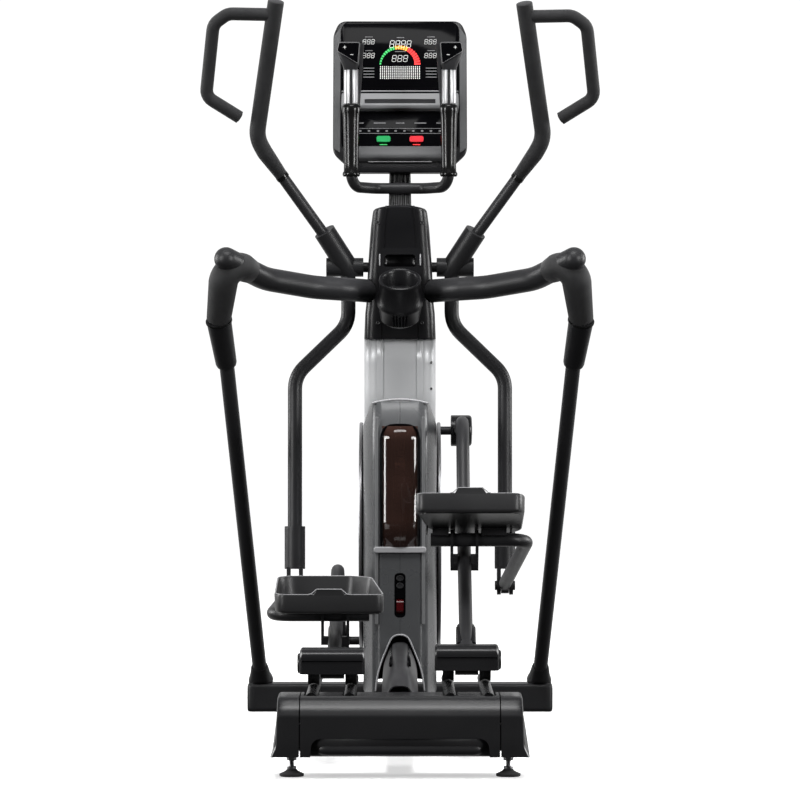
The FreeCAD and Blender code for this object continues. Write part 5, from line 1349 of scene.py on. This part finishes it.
def pedal_outline(side, shrink=0.0):
    """The tray's plan in the foot link's own frame, as (across, along)."""
    inner, outer, rear, front = 0.034 + shrink, 0.272 - shrink, -0.222 + shrink, 0.052 - shrink
    corners = [(inner, rear + 0.012), (inner + 0.012, rear), (outer - 0.012, rear), (outer, rear + 0.030),
               (outer, front - 0.024),
               (outer - 0.024, front), (inner + 0.070, front), (inner + 0.026, front - 0.040)]
    corners = [(side * across, along) for across, along in corners]
    if side < 0:
        corners.reverse()
    return rounded(corners, [0.012, 0.012, 0.02, 0.02, 0.016, 0.016, 0.03, 0.03], 5)


def rim_rise(along):
    """The wall grows taller towards the toe."""
    share = min(1.0, max(0.0, (along + 0.10) / 0.12))
    return 0.015 * share * share * (3 - 2 * share)


def make_pedal(name, side):
    """The foot tray: a floor with a rolled rim, a ribbed mat and a raised tab at the heel; painted shade
    under it and painted highlights on its rim and tab.
    """
    place = link_frame(name)
    low, wall, floor = 0.024, 0.066, 0.031
    skins = [(low, 0.008), (low + 0.001, 0.004), (low + 0.004, 0.0015), (low + 0.008, 0.0008),
             (wall - 0.004, 0.0),
             (wall - 0.0012, 0.0006), (wall, 0.0022), (wall - 0.0010, 0.0042), (wall - 0.004, 0.0052),
             (floor + 0.008, 0.0085),
             (floor + 0.002, 0.011), (floor, 0.015)]
    rings = [[place @ Vector((x, y, z + (rim_rise(y) if z > wall - 0.005 else 0))) for x, y, _ in
              pedal_outline(side, shrink)] for z, shrink in skins]
    piece("pedal_tray_" + name, loft_mesh("tray", rings), "pedal_plastic", "foot_link_" + name,
          ["pedal_" + name])
    # a near-black plate under the tray: painted shade on its underside
    shade_plate = [(x, y) for x, y, _ in pedal_outline(side, 0.0085)]
    shade_plate_place = place @ Matrix.Translation((0, 0, low - 0.0015))
    piece("pedal_base_" + name, plate("shade_plate", shade_plate, 0.004, shade_plate_place), "painted_shade_black", "foot_link_" + name)
    # a thin light grey line round the rim: a painted highlight on the rim's edge
    line = [place @ Vector((x, y, wall + rim_rise(y))) for x, y, _ in pedal_outline(side, 0.0022)]
    piece("pedal_line_" + name, tube_mesh("line", line + [line[0]], 0.0008, 10), "painted_highlight",
          "foot_link_" + name)
    middle = side * 0.153
    tab = rounded([(middle - 0.043, 0.050), (middle + 0.043, 0.050), (middle + 0.027, 0.078),
                   (middle - 0.027, 0.078)],
                  [0, 0, 0.007, 0.007])
    at_heel = place @ facing_rear(-0.2168)
    piece("heel_tab_" + name, plate("tab", tab, 0.0048, at_heel), "pedal_plastic", "foot_link_" + name,
          bevel=0.0014)
    # a thin light grey line along the heel tab's top: a painted highlight
    half_rim = [(0.0268, 0.0776), (0.0385, 0.0672), (0.0430, 0.0665)]
    edge = [(-across, z) for across, z in reversed(half_rim)] + half_rim
    rim_spots = [at_heel @ Vector((middle + across, z, 0.0048)) for across, z in edge]
    piece("heel_edge_" + name, tube_mesh("edge", rim_spots, 0.0011, 10, 0.001), "painted_highlight",
          "foot_link_" + name)
    make_foot_mat(name, side, place, floor)
    make_pedal_brackets(name, side, place, low)


def make_foot_mat(name, side, place, floor):
    """A soft mat with raised ribs across it, in the bottom of the tray."""
    outline = pedal_outline(side, 0.019)
    sheet = plate("mat", [(x, y) for x, y, _ in outline], 0.002, place @ Matrix.Translation((0, 0, floor)))
    ribs = [sheet]
    for count in range(13):
        along = -0.192 + count * 0.0165
        short = 0.020 if count > 9 else 0.0
        ends = sorted((side * (0.062 + short), side * 0.244))
        bar = plate("rib", rectangle(ends[0], along - 0.0028, ends[1], along + 0.0028, 0.0026, 3), 0.0018,
                    place @ Matrix.Translation((0, 0, floor + 0.0018)))
        ribs.append(bar)
    piece("foot_mat_" + name, join_meshes("mat", ribs), "pad_rubber", "foot_link_" + name)


def make_pedal_brackets(name, side, place, low):
    """Ribs under the tray that seat it on the link's cross tube."""
    for count, across in enumerate((0.060, 0.120, 0.168, 0.246)):
        web = rounded([(-0.060, low + 0.006), (-0.030, low - 0.010), (0.024, low - 0.010),
                       (0.036, low + 0.006)], [0, 0.008, 0.008, 0])
        upright = place @ Matrix.Translation((side * across - 0.002, 0, 0)) @ FACE_X
        mesh = plate("web", web, 0.004, upright)
        piece("pedal_web_%s_%d" % (name, count), mesh, "pedal_plastic", "foot_link_" + name, bevel=0.001)


def make_arm_socket(name, side):
    """The square socket that holds the arm's tube above the rollers."""
    place = arm_frame(name) @ Matrix.Translation((side * TRACK_X, -ARM_LONG, 0))
    rings = []
    for along, half in ((0.070, 0.0215), (0.138, 0.0215), (0.141, 0.0205), (0.152, 0.0190),
                        (0.154, 0.0178)):
        rings.append([place @ Vector((x, along,
                                      z)) for x, z, _ in rectangle(-half, -half, half, half, 0.006)])
    piece("arm_socket_" + name, loft_mesh("socket", rings), "hood_plastic", "pedal_arm_" + name)


def make_roller_hood(name, side):
    """The hood over two rollers: rounded on top, with a ridge along its middle and a round cap outside."""
    centre = joint_place("arm_pitch_" + name)
    middle = side * TRACK_X
    half, deep, low, high = 0.0685, 0.042, 0.195, 0.249
    corners = [(-deep, low), (-deep, high - 0.012), (-deep + 0.016, high), (deep - 0.016, high),
               (deep, high - 0.012), (deep, low)]
    path = rounded(corners, [0, 0.012, 0.014, 0.014, 0.012, 0], 6)
    rings = []
    for across, inset in ((-half, 0.006), (-half + 0.0015, 0.0025), (-half + 0.005, 0.0),
                          (half - 0.005, 0.0), (half - 0.0015, 0.0025), (half, 0.006)):
        ring = []
        for y, z, _ in path:
            pulled = max(low, z - inset) if z > low + 0.001 else z
            ring.append((middle + across, centre.y + y * (1 - inset / deep), pulled))
        rings.append(ring)
    mesh = loft_mesh("hood", rings, closed=False, cap_start=True, cap_end=True)
    hood = piece("roller_hood_" + name, mesh, "hood_plastic", "pedal_arm_" + name, ["roller_cover_" + name])
    thicken(hood, 0.0028)
    tilt = arm_frame(name) @ Matrix.Translation((middle, -ARM_LONG, 0))
    gap = circle(0.0235, 40)
    along = tilt @ Matrix.Rotation(math.radians(-83), 4, "X")
    axle = Matrix.Translation((middle - 0.027, centre.y, centre.z)) @ FACE_X
    relief = circle(0.0192, 40)
    carve(hood, [plate("gap", gap, 0.12, along), plate("relief", relief, 0.054, axle)])
    ridge = [Vector((middle + across, centre.y - deep - 0.0002,
                     0.2235)) for across in (-half + 0.006, half - 0.006)]
    piece("hood_ridge_" + name, tube_mesh("ridge", ridge, 0.0016, 12, 0.0016), "gloss_panel",
          "pedal_arm_" + name)
    outward = (Matrix.Translation((middle + side * half, centre.y, centre.z + 0.016))
               @ Matrix.Rotation(math.radians(90 * side), 4, "Y"))
    cap = [(-0.003, 0.0002), (-0.003, 0.0215), (0.002, 0.0215), (0.0045, 0.0200), (0.0056, 0.017),
           (0.0050, 0.0135), (0.0036, 0.0125), (0.0036, 0.0002)]
    piece("hood_cap_" + name, turned_mesh("cap", cap, outward, 48), "hood_plastic", "pedal_arm_" + name)


def make_joint_cover(name, side):
    """A round moulded cap over the crank end of the pedal arm, with a stepped face and a screw plug."""
    place = arm_frame(name)
    inner = (Matrix.Translation(place.translation + X_AXIS * side * 0.121)
             @ Matrix.Rotation(math.radians(90 * side), 4, "Y"))
    rim = [(0.0003, 0.034), (0.0, 0.0352), (0.001, 0.037), (0.043, 0.037), (0.0475, 0.0350),
           (0.0498, 0.0305), (0.0502, 0.024), (0.0488, 0.0225),
           (0.0488, 0.0002), (0.0462, 0.0002), (0.0462, 0.0228), (0.0470, 0.029), (0.0445, 0.0325),
           (0.041, 0.0342)]
    mesh = turned_mesh("cover", rim + [rim[0]], inner, 64)
    cover = piece("crank_joint_cover_" + name, mesh, "hood_plastic", "pedal_arm_" + name,
                  ["joint_cover_" + name])
    gap = circle(0.0165, 40)
    way = Vector((0, -0.34, 0.203)).normalized()
    heading = way.to_track_quat("Z", "X").to_matrix().to_4x4()
    carve(cover, [plate("gap", gap, 0.08, place @ Matrix.Translation((side * TRACK_X, 0, 0)) @ heading)])
    plug = [(0.047, 0.0002), (0.047, 0.0130), (0.0500, 0.0126), (0.0508, 0.0110), (0.0500, 0.0052),
            (0.0490, 0.0045), (0.0490, 0.0002)]
    piece("crank_joint_plug_" + name, turned_mesh("plug", plug, inner, 40), "gloss_panel",
          "pedal_arm_" + name)


# ---------------------------------------------------------------- crossbar caps and feet

def make_crossbar_caps():
    """A rounded moulded cap on each end of the crossbar, and the flared collar round each side pole."""
    low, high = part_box("front_crossbar")
    rear, front, top = low.y, high.y, high.z
    for name, side in SIDES.items():
        start, reach = high.x, span("crossbar_caps", 0)[1]
        rings = []
        for share, inset in ((0.0, -0.0006), (0.55, -0.0006), (0.80, 0.0006), (0.93, 0.003),
                             (0.985, 0.006), (1.0, 0.010)):
            outline = rounded([(rear + inset, inset), (front - inset, inset), (front - inset, top - inset),
                               (rear + inset, top - inset)],
                              0.011, 6)
            across = side * (start + (reach - start) * share)
            rings.append([(across, min(y, front), max(z, 0.0)) for y, z, _ in outline])
        piece("crossbar_cap_" + name, loft_mesh("cap", rings), "satin_plastic", "frame", ["crossbar_caps"])
        foot = Vector((side * 0.345, 0.905, 0.070))
        knee = Vector((side * 0.405, 0.300, 0.850))
        way = (knee - foot).normalized()
        tilt = Matrix.Translation(foot) @ way.to_track_quat("Z", "X").to_matrix().to_4x4()
        collar = [(0.010, 0.0170), (0.052, 0.0168), (0.056, 0.0182), (0.056, 0.0200), (0.050, 0.0218),
                  (0.028, 0.0255), (0.018, 0.0290),
                  (0.010, 0.0310), (0.006, 0.0300)]
        collar_piece = piece("pole_collar_" + name, turned_mesh("collar", collar + [collar[0]], tilt, 48),
                             "moulded_black", "frame")
        trim_below(collar_piece, top)


def trim_below(item, height):
    """Cut away what is under a level."""
    work = bmesh.new()
    work.from_mesh(item.data)
    everything = list(work.verts) + list(work.edges) + list(work.faces)
    cut = bmesh.ops.bisect_plane(work, geom=everything, plane_co=(0, 0, height), plane_no=(0, 0, -1),
                                 clear_outer=True)
    rim = [part for part in cut["geom_cut"] if isinstance(part, bmesh.types.BMEdge)]
    bmesh.ops.holes_fill(work, edges=rim)
    work.to_mesh(item.data)
    work.free()


def make_feet():
    """Each levelling foot: a ribbed rubber pad, a swivel dome, a threaded stem and its lock nut."""
    for name, side in SIDES.items():
        body = "rear_foot_" + name
        place = Matrix.Translation((side * 0.2225, -0.885, 0))
        pad = [(0.0, 0.0002), (0.0, 0.0232), (0.0012, 0.0250), (0.0040, 0.0255), (0.0060, 0.0250),
               (0.0068, 0.0232), (0.0100, 0.0165),
               (0.0125, 0.0120), (0.0150, 0.0105), (0.0150, 0.0002)]
        piece("foot_pad_" + name, turned_mesh("pad", pad, place, 48), "pad_rubber", body, [body])
        stem = [(0.014, 0.0002)]
        for turn in range(24):
            along = 0.0145 + 0.0015 * turn
            stem += [(along, 0.0043), (along + 0.00075, 0.0050)]
        stem += [(0.0520, 0.0046), (0.062, 0.0046), (0.095, 0.0046), (0.096, 0.0040), (0.096, 0.0002)]
        piece("foot_stem_" + name, turned_mesh("stem", stem, place, 32), "bare_steel", body)
        for low, tall, wide in ((0.0330, 0.009, 0.0104), (0.0150, 0.006, 0.0098)):
            nut = plate("nut", circle(wide, 6), tall, place @ Matrix.Translation((0, 0, low)))
            piece("foot_nut_%s_%d" % (name, round(low * 1000)), nut, "bare_steel", body, bevel=0.0008)


make_materials()
make_stage()
dress_cad()
make_rear_cover()
make_spine_cover()
make_shroud()
make_mast_cover()
make_upper_housing()
make_cup_holder()
make_console()
make_console_stem()
make_pulse_bar()
make_swing_grips()
make_elbow_grips()
for name, side in SIDES.items():
    make_pedal(name, side)
    make_arm_socket(name, side)
    make_roller_hood(name, side)
    make_joint_cover(name, side)
make_crossbar_caps()
make_feet()
